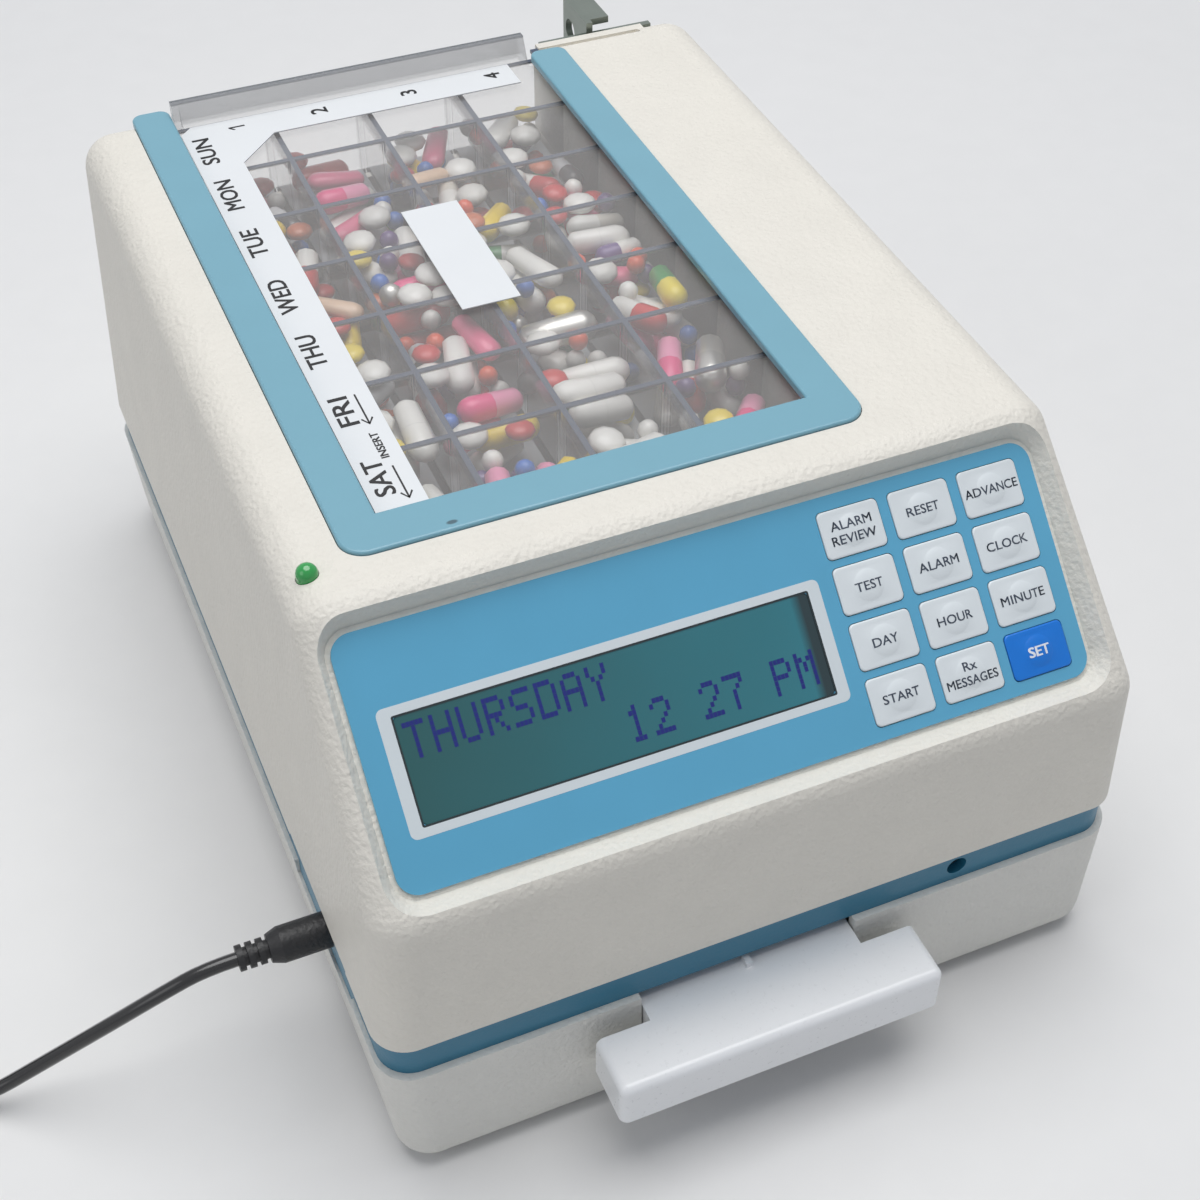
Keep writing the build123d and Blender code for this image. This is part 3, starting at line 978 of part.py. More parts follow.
def trip_carriage():
    """The bar that runs under the tray on the rods and the lead screw."""
    left = LEFT_ROD_X - ROD_R - BLOCK_MARGIN
    right = RIGHT_ROD_X + ROD_R + BLOCK_MARGIN
    body = block(left, right, CARRIAGE_HOME, CARRIAGE_REAR, BAR_BOTTOM, BAR_TOP)
    for x0, x1 in ((left, LEFT_ROD_X + ROD_R + BLOCK_MARGIN), (SCREW_X - SCREW_R - BLOCK_MARGIN, right)):
        body += block(x0, x1, CARRIAGE_HOME, CARRIAGE_REAR, ROD_Z - ROD_R - 2, ROD_Z + ROD_R + 2)
    for x, radius in ((LEFT_ROD_X, ROD_R), (RIGHT_ROD_X, ROD_R), (SCREW_X, SCREW_R)):
        body -= rod_y(x, CARRIAGE_HOME - 1, CARRIAGE_REAR + 1, ROD_Z, radius + FIT)
    for x in GUIDE_PINS:
        body += rod_z(x, GUIDE_PIN_Y, BAR_TOP - 1, BAR_TOP + COMB_THICK + COMB_LIFT + 0.3, GUIDE_PIN_R)
    return body - rod_z(SOLENOID_X, GUIDE_PIN_Y, BAR_BOTTOM - 1, BAR_TOP + 1, PLUNGER_R + FIT)


def trip_comb():
    """The steel comb whose staggered fingers trip one door after the other."""
    body = block(COLUMN_X[0] - FINGER_WIDTH / 2, SOLENOID_X + SOLENOID_WIDTH / 2 - 1, CARRIAGE_HOME,
                 CARRIAGE_REAR, COMB_BOTTOM, COMB_BOTTOM + COMB_THICK)
    for i, x in enumerate(COLUMN_X):
        tip = FINGER_FIRST + i * FINGER_STEP
        x0, x1 = x - FINGER_WIDTH / 2, x + FINGER_WIDTH / 2
        body += block(x0, x1, CARRIAGE_HOME, max(tip, CARRIAGE_REAR), COMB_BOTTOM, COMB_BOTTOM + COMB_THICK)
        body += block(x0, x1, tip - COMB_THICK, tip, COMB_BOTTOM, COMB_BOTTOM + COMB_THICK + FINGER_TIP)
    for x in GUIDE_PINS:
        body -= rod_z(x, GUIDE_PIN_Y, COMB_BOTTOM - 1, COMB_BOTTOM + 3, GUIDE_PIN_R + FIT)
    return body


def lift_solenoid():
    """The small solenoid under the bar whose plunger lifts the comb."""
    half = SOLENOID_WIDTH / 2
    body = block(SOLENOID_X - half, SOLENOID_X + half, CARRIAGE_HOME, CARRIAGE_REAR,
                 BAR_BOTTOM - SOLENOID_HEIGHT, BAR_BOTTOM)
    return body + rod_z(SOLENOID_X, GUIDE_PIN_Y, BAR_BOTTOM - 1, BAR_TOP, PLUNGER_R)


# ---------------------------------------------------------------- electrics
def control_board():
    """The main board on the deck, with its chips, relay, connectors and capacitor."""
    half_x, half_y, top = BOARD_WIDTH / 2, BOARD_DEPTH / 2, BOARD_BOTTOM + BOARD_THICK
    board = block(BOARD_X - half_x, BOARD_X + half_x, BOARD_Y - half_y, BOARD_Y + half_y, BOARD_BOTTOM, top)
    for x, y in BOARD_SCREWS:
        board -= rod_z(x, y, BOARD_BOTTOM - 1, top + 1, BOARD_SCREW_R + FIT)
    pieces = [board]
    left = BOARD_X - half_x + BOARD_PART_MARGIN
    for width, depth, height in (PROCESSOR, DRIVER_CHIP, RELAY, CONNECTOR):
        pieces.append(block(left, left + width, BOARD_Y - depth / 2, BOARD_Y + depth / 2, top, top + height))
        left += width + BOARD_PART_GAP
    pieces.append(rod_z(left + CAPACITOR_R, BOARD_Y, top, top + CAPACITOR_HEIGHT, CAPACITOR_R))
    return joined(pieces)


def buzzer():
    """The sounder under the deck, beside its hole in the band."""
    y = FRONT_Y + BAND_INSET + WALL + LIP_WALL + BUZZER_R + 1
    body = rod_z(SOUND_HOLE_X, y, DECK_BOTTOM - BUZZER_LENGTH, DECK_BOTTOM, BUZZER_R)
    bottom = DECK_BOTTOM - BUZZER_LENGTH
    return body - rod_z(SOUND_HOLE_X, y, bottom - 1, bottom + BUZZER_MOUTH, BUZZER_MOUTH_R)


def dc_jack():
    """The power socket under the deck, its bore facing left, with a centre pin."""
    body = block(JACK_FACE, JACK_FACE + JACK_BODY_LENGTH, JACK_Y - JACK_BODY_WIDTH / 2,
                 JACK_Y + JACK_BODY_WIDTH / 2, DECK_BOTTOM - JACK_BODY_HEIGHT, DECK_BOTTOM)
    body -= rod_x(JACK_FACE - 1, JACK_FACE + BARREL_LENGTH + 1, JACK_Y, JACK_Z, BARREL_R + FIT)
    return body + rod_x(JACK_FACE + 1, JACK_FACE + BARREL_LENGTH + 2, JACK_Y, JACK_Z, JACK_PIN_R)


CELL_Z = FOOT_HEIGHT + BATTERY_DOOR_THICK + SLIDE_GAP + CELL_R
CELL_X_PLACES = [BATTERY_X + (i - (CELL_COUNT - 1) / 2) * 2 * (CELL_R + FIT) for i in range(CELL_COUNT)]
HOLDER_TOP = CELL_Z + CELL_R + 1 + BATTERY_WALL


def battery_holder():
    """The tub over the battery opening in the floor."""
    half_x, half_y = BATTERY_HALF_X + BATTERY_WALL, BATTERY_HALF_Y + BATTERY_WALL
    body = block(BATTERY_X - half_x, BATTERY_X + half_x, BATTERY_Y - half_y, BATTERY_Y + half_y,
                 FLOOR_TOP, HOLDER_TOP)
    return body - block(BATTERY_X - BATTERY_HALF_X, BATTERY_X + BATTERY_HALF_X, BATTERY_Y - BATTERY_HALF_Y,
                        BATTERY_Y + BATTERY_HALF_Y, FLOOR_TOP - 1, HOLDER_TOP - BATTERY_WALL)


def battery_cells():
    """The stand-by cells, with the nub of each terminal."""
    cells = []
    for i, x in enumerate(CELL_X_PLACES):
        turned = 1 if i % 2 else -1
        half = CELL_LENGTH / 2
        cell = rod_y(x, BATTERY_Y - half, BATTERY_Y + half, CELL_Z, CELL_R)
        nub = sorted((BATTERY_Y + turned * half, BATTERY_Y + turned * (half + 1.2)))
        cells.append(cell + rod_y(x, *nub, CELL_Z, CELL_R / 3))
    return joined(cells)


def battery_door():
    """The plate that closes the battery opening, held by one screw."""
    body = battery_door_plate(0, 0)
    body -= rod_z(BATTERY_X, DOOR_SCREW_Y, 0, FOOT_HEIGHT + FIT + DOOR_SCREW_HEAD, BOARD_SCREW_HEAD_R + FIT)
    return body - rod_z(BATTERY_X, DOOR_SCREW_Y, 0, FLOOR_TOP, BOARD_SCREW_R + FIT)


# ---------------------------------------------------------------- lock
def lock_bar():
    """The steel latch behind the tray: a slotted plate with an upright tab for a padlock."""
    bottom = LOCK_TOP - LOCK_HEIGHT
    body = block(LOCK_LEFT, LOCK_RIGHT, LOCK_FRONT, LOCK_REAR, bottom, LOCK_TOP)
    rear = REAR_Y + LOCK_TAB_REACH
    tab_right = LOCK_TAB_X + LOCK_THICK
    tab = block(LOCK_TAB_X, tab_right, LOCK_FRONT, rear, LOCK_TAB_TOP - LOCK_TAB_HEIGHT, LOCK_TAB_TOP)
    tab -= rod_x(LOCK_TAB_X - 1, tab_right + 1, rear - LOCK_HOLE_INSET, HOLE_Z, LOCK_HOLE_R)
    body += tab
    body += block(LOCK_TAB_X, LOCK_TAB_X + LOCK_LEAF, LOCK_REAR, rear,
                  LOCK_TAB_TOP - LOCK_THICK, LOCK_TAB_TOP)
    ends = (RIVET_X[0], RIVET_X[-1] + LOCK_TRAVEL)
    body -= block(*ends, LOCK_FRONT - 1, LOCK_REAR + 1, RIVET_Z - LOCK_SLOT_R, RIVET_Z + LOCK_SLOT_R)
    for x in ends:
        body -= rod_y(x, LOCK_FRONT - 1, LOCK_REAR + 1, RIVET_Z, LOCK_SLOT_R)
    return body


HOLE_Z = LOCK_TAB_TOP - LOCK_TAB_HEIGHT / 2


def lock_rivets():
    """The two headed rivets in the rear wall that the latch slides on."""
    inner = REAR_Y - WALL
    outer = LOCK_REAR + FIT
    rivets = []
    for x in RIVET_X:
        rivet = rod_y(x, inner, outer, RIVET_Z, RIVET_R)
        rivet += rod_y(x, outer, outer + RIVET_HEAD, RIVET_Z, RIVET_HEAD_R)
        rivets.append(rivet + rod_y(x, inner - RIVET_TAIL, inner, RIVET_Z, RIVET_HEAD_R))
    return joined(rivets)


# ---------------------------------------------------------------- fasteners and feet
def case_screws():
    """The four long screws that hold the two cases and the mid frame together."""
    seat = FOOT_HEIGHT + COUNTERBORE_DEPTH
    return joined(rod_z(x, y, seat - SCREW_HEAD, seat, SCREW_HEAD_R)
                  + rod_z(x, y, seat - 1, UPPER_BOTTOM + CASE_SCREW_BITE, SCREW_SHANK_R)
                  for x, y in BOSS_PLACES)


def panel_screw(x, s, seat, bite):
    """A small screw from behind the panel: its head is under seat, its shank reaches out."""
    head = panel_pin(x, s, seat, BOARD_SCREW_HEAD, BOARD_SCREW_HEAD_R)
    return head + panel_pin(x, s, seat + bite, bite + 0.5, BOARD_SCREW_R)


def board_screws():
    """The small screws of the key board, the display and the main board."""
    screws = [panel_screw(x, s, BOARD_OUT - KEY_BOARD_THICK, KEY_BOARD_THICK + KEY_SCREW_BITE)
              for x, s in KEY_SCREWS]
    screws += [panel_screw(x, s, LCD_BOARD_OUT - LCD_BOARD_THICK, BOARD_SCREW_LENGTH) for x, s in LCD_SCREWS]
    top = BOARD_BOTTOM + BOARD_THICK
    for x, y in BOARD_SCREWS:
        screws.append(rod_z(x, y, top, top + BOARD_SCREW_HEAD, BOARD_SCREW_HEAD_R)
                      + rod_z(x, y, top - BOARD_SCREW_LENGTH, top + 0.5, BOARD_SCREW_R))
    return joined(screws)


def door_screw():
    """The screw that holds the battery door to the floor."""
    bottom = FOOT_HEIGHT + FIT
    body = rod_z(BATTERY_X, DOOR_SCREW_Y, bottom, bottom + DOOR_SCREW_HEAD, BOARD_SCREW_HEAD_R)
    return body + rod_z(BATTERY_X, DOOR_SCREW_Y, bottom, FLOOR_TOP + DOOR_BOSS - 1.5, BOARD_SCREW_R)


def rubber_feet():
    """The four round feet."""
    return joined(rod_z(x, y, 0, FOOT_HEIGHT + FOOT_RECESS, FOOT_R) for x, y in FOOT_PLACES)


# ---------------------------------------------------------------- cord
PLUG_FACE = -(HALF_WIDTH_PARTING - BAND_INSET) - SLIDE_GAP
GRIP_END = PLUG_FACE - PLUG_GRIP
TAPER_END = GRIP_END - PLUG_TAPER
CORD_START = TAPER_END - RELIEF_RINGS * RELIEF_PITCH
COIL_X = CORD_START - COIL_REACH
ADAPTER_X = COIL_X - ADAPTER_BESIDE
# the route, point by point: out of the plug and down to the table, and on to the coil
CORD_ROUTE = [(CORD_START, JACK_Y, JACK_Z),
              (CORD_START - 8.0, JACK_Y, JACK_Z),
              (CORD_START - 17.6, JACK_Y + 0.1, JACK_Z - 3.4),
              (CORD_START - 29.4, JACK_Y + 2.8, JACK_Z - 11.6),
              (CORD_START - 41.1, JACK_Y + 6.6, JACK_Z - 21.1),
              (CORD_START - 52.1, JACK_Y + 9.9, 12.0),
              (CORD_START - 62.1, JACK_Y + 11.9, 5.6),
              (CORD_START - 74.5, JACK_Y + 14.8, 2.3),
              (CORD_START - 90.5, JACK_Y + 16.2, CORD_R),
              (COIL_X + 16.5, COIL_Y - COIL_MID_R - 0.7, CORD_R)]
# from the coil to the adapter
TAIL_START = COIL_X - COIL_MID_R
TAIL_ROUTE = [(TAIL_START, COIL_Y + 17.8, CORD_R),
              (TAIL_START - 0.4, COIL_Y + 29.0, CORD_R),
              (TAIL_START - 4.0, COIL_Y + 42.5, 2.6),
              (ADAPTER_X, ADAPTER_FRONT - 16.0, ADAPTER_CORD_Z),
              (ADAPTER_X, ADAPTER_FRONT - 8.0, ADAPTER_CORD_Z)]


def route_radii(route):
    """The arc at each point of a route: as large as its two runs allow."""
    points = [Vector(*p) for p in route]
    radii = []
    for before, here, after in zip(points, points[1:], points[2:]):
        turn = radians((here - before).get_angle(after - here))
        shorter = min((here - before).length, (after - here).length)
        radii.append(0.45 * shorter / tan(turn / 2))
    return radii


def cord_tube(route):
    """A round tube along a route of straight runs joined by tangent arcs."""
    radii = route_radii(route)
    path = FilletPolyline(*route, radius=radii)
    start = Vector(*route[0])
    section = Plane(origin=start, z_dir=Vector(*route[1]) - start) * Circle(CORD_R)
    tube = sweep(section, path=path)
    print("cord radii", [round(r, 1) for r in radii], "length", round(path.length, 1),
          "volume error", round(tube.volume / (pi * CORD_R ** 2 * path.length) - 1, 5))
    return tube


def power_plug():
    """The plug of the adapter's cord: a barrel, a grip and a ringed strain relief."""
    body = rod_x(PLUG_FACE, JACK_FACE - SLIDE_GAP, JACK_Y, JACK_Z, PLUG_NECK_R)
    body += rod_x(JACK_FACE - 1, JACK_FACE + BARREL_LENGTH - 1, JACK_Y, JACK_Z, BARREL_R)
    body -= rod_x(JACK_FACE, JACK_FACE + BARREL_LENGTH, JACK_Y, JACK_Z, BARREL_BORE_R)
    body += rod_x(GRIP_END, PLUG_FACE, JACK_Y, JACK_Z, PLUG_R)
    taper = Cone(PLUG_R, PLUG_TAPER_R, PLUG_TAPER)
    body += Pos((GRIP_END + TAPER_END) / 2, JACK_Y, JACK_Z) * Rot(0, -90, 0) * taper
    body += rod_x(CORD_START, TAPER_END, JACK_Y, JACK_Z, RELIEF_CORE_R)
    for i in range(RELIEF_RINGS):
        x = CORD_START + i * RELIEF_PITCH
        body += rod_x(x, x + RELIEF_RING, JACK_Y, JACK_Z, RELIEF_RING_R)
    return body


def power_cord():
    """The cord from the plug to the coil, and from the coil to the adapter."""
    return joined([cord_tube(CORD_ROUTE), cord_tube(TAIL_ROUTE)])


def cord_coil():
    """The outer shape of the tied coil that takes up the rest of the cord."""
    outer, inner = COIL_MID_R + COIL_WIDTH / 2, COIL_MID_R - COIL_WIDTH / 2
    top = TIE_THICK + COIL_HEIGHT
    return (rod_z(COIL_X, COIL_Y, TIE_THICK, top, outer)
            - rod_z(COIL_X, COIL_Y, TIE_THICK - 1, top + 1, inner))


def cord_tie():
    """The strap round the coil."""
    inner_r = COIL_MID_R - COIL_WIDTH / 2
    x0 = COIL_X + (inner_r ** 2 - (TIE_WIDTH / 2) ** 2) ** 0.5 - SEAT_GAP
    x1 = COIL_X + COIL_MID_R + COIL_WIDTH / 2 + SEAT_GAP
    top = TIE_THICK + COIL_HEIGHT + SEAT_GAP
    y0, y1 = COIL_Y - TIE_WIDTH / 2, COIL_Y + TIE_WIDTH / 2
    body = block(x0 - TIE_THICK, x1 + TIE_THICK, y0, y1, 0, top + TIE_THICK)
    return body - block(x0, x1, y0 - 1, y1 + 1, TIE_THICK, top)


def power_adapter():
    """The wall adapter at the far end of the cord, with its blades and strain relief."""
    body = block(ADAPTER_X - ADAPTER_WIDTH / 2, ADAPTER_X + ADAPTER_WIDTH / 2, ADAPTER_FRONT,
                 ADAPTER_FRONT + ADAPTER_LENGTH, 0, ADAPTER_HEIGHT)
    body = fillet(body.edges().filter_by(Axis.Z), ADAPTER_R)
    body += rod_y(ADAPTER_X, TAIL_ROUTE[-1][1], ADAPTER_FRONT + 1, ADAPTER_CORD_Z, PLUG_TAPER_R)
    for side in (-1, 1):
        x = ADAPTER_X + side * BLADE_SPACING / 2
        y = ADAPTER_FRONT + ADAPTER_LENGTH
        body += block(x - BLADE_THICK / 2, x + BLADE_THICK / 2, y - 1, y + BLADE_LENGTH,
                      (ADAPTER_HEIGHT - BLADE_WIDTH) / 2, (ADAPTER_HEIGHT + BLADE_WIDTH) / 2)
    return body


# ---------------------------------------------------------------- all nodes
def main():
    """Writes every node."""
    os.makedirs("parts", exist_ok=True)
    pieces = [upper_case, mid_frame, lower_case, tray_bezel, panel_overlay, keypad_board, dome_switches,
              lcd_window, lcd_module, led_lamp, pill_tray, tray_lid, day_label, plain_label, drawer,
              pill_chute, rod_brackets, guide_rods, drive_motor, lead_screw, trip_carriage, trip_comb,
              lift_solenoid, control_board, buzzer, dc_jack, battery_holder, battery_cells, battery_door,
              door_screw, lock_bar, lock_rivets, case_screws, board_screws, rubber_feet, power_plug,
              power_cord, cord_coil, cord_tie, power_adapter]
    for piece in pieces:
        save(piece.__name__, piece())
    for name, place in zip(KEY_NAMES, KEY_PLACES):
        save(f"key_{name}", key(*place))
    rear_row, other_rows = ROW_Y[0], ROW_Y[1:]
    for i, x in enumerate(COLUMN_X):
        save(f"sunday_door_{i + 1}", trap_door(x, rear_row))
    save("trap_doors", joined(trap_door(x, y) for y in other_rows for x in COLUMN_X))


main()
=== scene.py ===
"""Looks of the automatic pill dispenser: finishes, pills, keys, display, labels and power lead."""

from __future__ import annotations

import logging
import math
import random
from dataclasses import dataclass, field
from enum import Enum
from functools import partial
from typing import Any, Callable, Sequence

import bpy
from bpy.types import Material, Mesh, Node, NodeSocket, NodeTree, Object
from mathutils import Matrix, Vector

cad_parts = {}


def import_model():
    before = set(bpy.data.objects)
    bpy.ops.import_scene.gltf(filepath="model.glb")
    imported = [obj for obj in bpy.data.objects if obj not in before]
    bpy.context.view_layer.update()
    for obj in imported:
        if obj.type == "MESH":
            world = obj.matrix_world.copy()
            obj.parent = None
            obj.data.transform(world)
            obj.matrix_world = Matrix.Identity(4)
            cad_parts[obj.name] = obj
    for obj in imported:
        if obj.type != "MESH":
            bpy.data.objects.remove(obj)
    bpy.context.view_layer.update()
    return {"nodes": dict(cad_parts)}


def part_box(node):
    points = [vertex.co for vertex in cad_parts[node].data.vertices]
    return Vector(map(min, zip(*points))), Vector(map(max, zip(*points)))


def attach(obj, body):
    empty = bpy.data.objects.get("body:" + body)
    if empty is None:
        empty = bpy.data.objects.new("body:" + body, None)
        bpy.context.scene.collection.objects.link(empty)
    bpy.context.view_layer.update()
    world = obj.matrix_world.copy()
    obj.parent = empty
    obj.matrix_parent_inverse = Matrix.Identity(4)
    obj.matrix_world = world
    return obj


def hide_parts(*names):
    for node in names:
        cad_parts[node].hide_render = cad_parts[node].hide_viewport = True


LOG = logging.getLogger("pill_dispenser")
MM = 0.001
ORIGIN_Y = 77.2
SURROUNDINGS = (246, 247, 249)
Pair = tuple[float, float]
Triple = tuple[float, float, float]
Colour = Triple
Points = Sequence[Sequence[float]]
Nodes = dict[str, Object]


def at(x: float, y: float, z: float) -> Vector:
    """Return the place in metres of a point given in the dispenser's millimetres."""
    return Vector((x, y - ORIGIN_Y, z)) * MM


def linear(colour: Colour) -> tuple[float, float, float, float]:
    """Return the linear colour of three display values from 0 to 255."""
    parts = [c / 255 for c in colour]
    r, g, b = (p / 12.92 if p <= 0.04045 else ((p + 0.055) / 1.055) ** 2.4 for p in parts)
    return (r, g, b, 1.0)


def linked(name: str, data: Any) -> Object:
    """Return a new object with the given data, linked to the scene."""
    piece = bpy.data.objects.new(name, data)
    bpy.context.scene.collection.objects.link(piece)
    return piece


# --- frames of reference


@dataclass(frozen=True)
class Plane:
    """A flat place on the dispenser, with its own millimetre axes."""

    origin: Vector
    right: Vector
    up: Vector

    def matrix(self) -> Matrix:
        """Return the matrix that takes the plane's millimetres to metres."""
        out = self.right.cross(self.up)
        rows = [[self.right[i] * MM, self.up[i] * MM, out[i] * MM, self.origin[i]]
                for i in range(3)]
        return Matrix((*rows, (0, 0, 0, 1)))


PANEL_UP = Vector((0, 0.72803, 0.68554))
PANEL = Plane(at(0, 0, 136.7), Vector((1, 0, 0)), PANEL_UP)
LABEL_TOP = 134.35
LABEL = Plane(at(0, 0, LABEL_TOP), Vector((0, 1, 0)), Vector((-1, 0, 0)))
WORLD_MM = Plane(at(0, 0, 0), Vector((1, 0, 0)), Vector((0, 1, 0)))


# --- nodes and shader maths


def feed(socket: NodeSocket, value: Any) -> None:
    """Link a value or a socket to a socket, or set the socket's own number or colour."""
    if isinstance(value, Value):
        value = value.socket
    if isinstance(value, NodeSocket):
        socket.id_data.links.new(value, socket)
    else:
        socket.default_value = value


def add_node(tree: NodeTree, kind: str, *parts: Any, **named: Any) -> Node:
    """Add any node.

    Args:
        tree: The tree that gets it.
        kind: The node's type.
        parts: Numbers, colours or links for its first sockets, in order.
        named: Its settings under their lower-case names, which are set first, and numbers,
            colours or links for sockets under their capitalised names, with _ for a space.

    Returns:
        The new node.
    """
    node = tree.nodes.new(kind)
    for name in [name for name in named if name[0].islower()]:
        setattr(node, name, named.pop(name))
    for socket, part in zip(node.inputs, parts):
        feed(socket, part)
    for name, value in named.items():
        label = name.replace("_", " ")
        feed(next(s for s in node.inputs if s.enabled and s.name == label), value)
    return node


def operator(operation: str, reflected: bool = False) -> Callable[[Value, Any], Value]:
    """Return the method of one operator of values, or of its reflected form."""

    def method(self: Value, other: Any) -> Value:
        """Return the two numbers or values joined by a Math node."""
        return self.maths(operation, *((other, self) if reflected else (self, other)))

    return method


class Value:
    """A number that varies from place to place. Its operators add Math nodes."""

    def __init__(self, socket: NodeSocket) -> None:
        """Keep the socket that gives the number."""
        self.socket = socket

    def maths(self, operation: str, *parts: Any) -> Value:
        """Return the result of a new Math node, with numbers or values for its inputs."""
        tree = self.socket.id_data
        return Value(add_node(tree, "ShaderNodeMath", *parts, operation=operation).outputs[0])

    __add__, __radd__ = operator("ADD"), operator("ADD", True)
    __sub__, __rsub__ = operator("SUBTRACT"), operator("SUBTRACT", True)
    __mul__, __rmul__ = operator("MULTIPLY"), operator("MULTIPLY", True)
    __truediv__ = operator("DIVIDE")

    def clamp(self) -> Value:
        """Return the value held between 0 and 1."""
        return self.maths("MINIMUM", self.maths("MAXIMUM", self, 0.0), 1.0)

    def size(self) -> Value:
        """Return the value without its sign."""
        return self.maths("ABSOLUTE", self)

    def step(self, low: float, high: float) -> Value:
        """Return how far the value has come from one number to another, from 0 to 1."""
        return ((self - low) / (high - low)).clamp()


class Graph:
    """One material's node tree with short ways to add to it."""

    def __init__(self, name: str) -> None:
        """Start a material with an empty tree, one surface shader and its output."""
        self.material = bpy.data.materials.new(name)
        self.material.use_nodes = True
        self.tree = self.material.node_tree
        self.tree.nodes.clear()
        self.node = partial(add_node, self.tree)
        self.shader = self.node("ShaderNodeBsdfPrincipled")
        self.output = self.node("ShaderNodeOutputMaterial", self.shader.outputs[0])
        self.place = self.node("ShaderNodeTexCoord").outputs["Object"]

    def read(self, output: str, kind: str, *parts: Any, **named: Any) -> Value:
        """Add any node and return one of its outputs."""
        return Value(self.node(kind, *parts, **named).outputs[output])

    def noise(self, grain: float, detail: float = 2.0, stretch: Triple = (1, 1, 1)) -> Value:
        """Return a soft random pattern with grains of the given millimetres."""
        place = self.node("ShaderNodeMapping", Vector=self.place, Scale=stretch).outputs[0]
        return self.read("Fac", "ShaderNodeTexNoise", Vector=place, Scale=1 / (grain * MM),
                         Detail=detail)

    def axis(self, name: str) -> Value:
        """Return the X, Y or Z place on the object in metres."""
        return self.read(name, "ShaderNodeSeparateXYZ", self.place)

    def level(self, low: float, high: float) -> Value:
        """Return how far the surface has risen from one height in millimetres to another."""
        return self.axis("Z").step(low * MM, high * MM)

    def attribute(self, name: str, output: str = "Fac") -> Value:
        """Return one of the mesh's own attributes."""
        return self.read(output, "ShaderNodeAttribute", attribute_name=name)

    def mix(self, first: Any, second: Any, share: Any) -> NodeSocket:
        """Return a blend of two colours, each a link or three display values."""
        a, b = (linear(part) if isinstance(part, tuple) else part for part in (first, second))
        blend = self.node("ShaderNodeMix", data_type="RGBA", Factor=share, A=a, B=b)
        return blend.outputs[2]

    def set(self, **values: Any) -> None:
        """Set or link sockets of the surface shader."""
        for name, value in values.items():
            feed(self.shader.inputs[name.replace("_", " ")], value)

    def relief(self, height: Value, depth: float) -> None:
        """Raise the surface by a pattern of the given depth in millimetres."""
        self.set(Normal=self.read("Normal", "ShaderNodeBump", Height=height,
                                  Distance=depth * MM, Strength=1.0))


# --- finishes


@dataclass(frozen=True)
class Finish:
    """A moulded or printed surface with its grain, mottling and relief."""

    name: str
    colour: Colour
    roughness: float = 0.45
    grain: float = 0.9
    relief: float = 0.02
    mottle: float = 0.06
    coat: float = 0.0
    metallic: float = 0.0
    stretch: Triple = (1, 1, 1)
    blotch: float = 14.0
    blotch_share: float = 0.7
    gloss_range: float = 0.16

    def tint(self, graph: Graph) -> Any:
        """Return the surface's colour with soft mottling."""
        dark = tuple(c * (1 - self.mottle) for c in self.colour)
        blotches = graph.noise(self.blotch) * self.blotch_share
        share = blotches + graph.noise(self.grain) * (1 - self.blotch_share)
        return graph.mix(dark, self.colour, share.clamp())

    def material(self) -> Material:
        """Return the finish as a material."""
        graph = Graph(self.name)
        grain = graph.noise(self.grain, 3.0, self.stretch)
        rough = grain * self.gloss_range + (self.roughness - self.gloss_range / 2)
        graph.set(Base_Color=self.tint(graph), Roughness=rough.clamp(), Metallic=self.metallic,
                  Coat_Weight=self.coat)
        self.surface(graph, grain)
        return graph.material

    def surface(self, graph: Graph, grain: Value) -> None:
        """Add the relief."""
        graph.relief(grain, self.relief)


@dataclass(frozen=True)
class SparkTexture(Finish):
    """ABS with the fine pebbled skin of a spark-eroded mould."""

    pebble: float = 1.5
    smoothness: float = 0.6
    fine_share: float = 0.7
    pebble_share: float = 0.5

    def surface(self, graph: Graph, grain: Value) -> None:
        """Add pebbles of two sizes."""
        pebbles = graph.read("Distance", "ShaderNodeTexVoronoi", feature="SMOOTH_F1",
                             Vector=graph.place, Scale=1 / (self.pebble * self.grain * MM),
                             Smoothness=self.smoothness)
        graph.relief(grain * self.fine_share + pebbles * self.pebble_share, self.relief)


@dataclass(frozen=True)
class Bezel(Finish):
    """The glossy teal frame with one small dark nick."""

    nick: Pair = (-52.2, 13.5)
    nick_size: Pair = (1.2, 0.6)
    nick_reach: float = 1.6
    nick_share: float = 0.8
    nick_colour: Colour = (52, 70, 78)

    def tint(self, graph: Graph) -> Any:
        """Return the teal with the nick in its front bar."""
        nick = at(*self.nick, 0)
        along = (graph.axis("X") - nick.x) / (self.nick_size[0] * MM)
        across = (graph.axis("Y") - nick.y) / (self.nick_size[1] * MM)
        mark = (self.nick_reach - along * along - across * across).clamp() * self.nick_share
        return graph.mix(super().tint(graph), self.nick_colour, mark)


@dataclass(frozen=True)
class ClearPlastic(Finish):
    """See-through plastic, denser at its edges and along a band at one height."""

    density: float = 0.1
    edge_density: float = 0.3
    edge_blend: float = 0.35
    cloud: float = 0.02
    band: Pair = (0.0, 0.0)
    band_colour: Colour = (74, 92, 116)
    band_density: float = 0.6

    def dense(self, graph: Graph) -> Value:
        """Return where the plastic is denser, from one height up to another."""
        return graph.level(*self.band)

    def surface(self, graph: Graph, grain: Value) -> None:
        """Make it clear, with its denser places in their own colour."""
        edge = graph.read("Facing", "ShaderNodeLayerWeight", Blend=self.edge_blend)
        alpha = edge * self.edge_density + self.density + grain * self.cloud
        if self.band[1] > self.band[0]:
            band = self.dense(graph)
            alpha = alpha + band * self.band_density
            graph.set(Base_Color=graph.mix(self.tint(graph), self.band_colour, band))
        graph.set(Alpha=alpha.clamp())
        graph.relief(grain, self.relief)


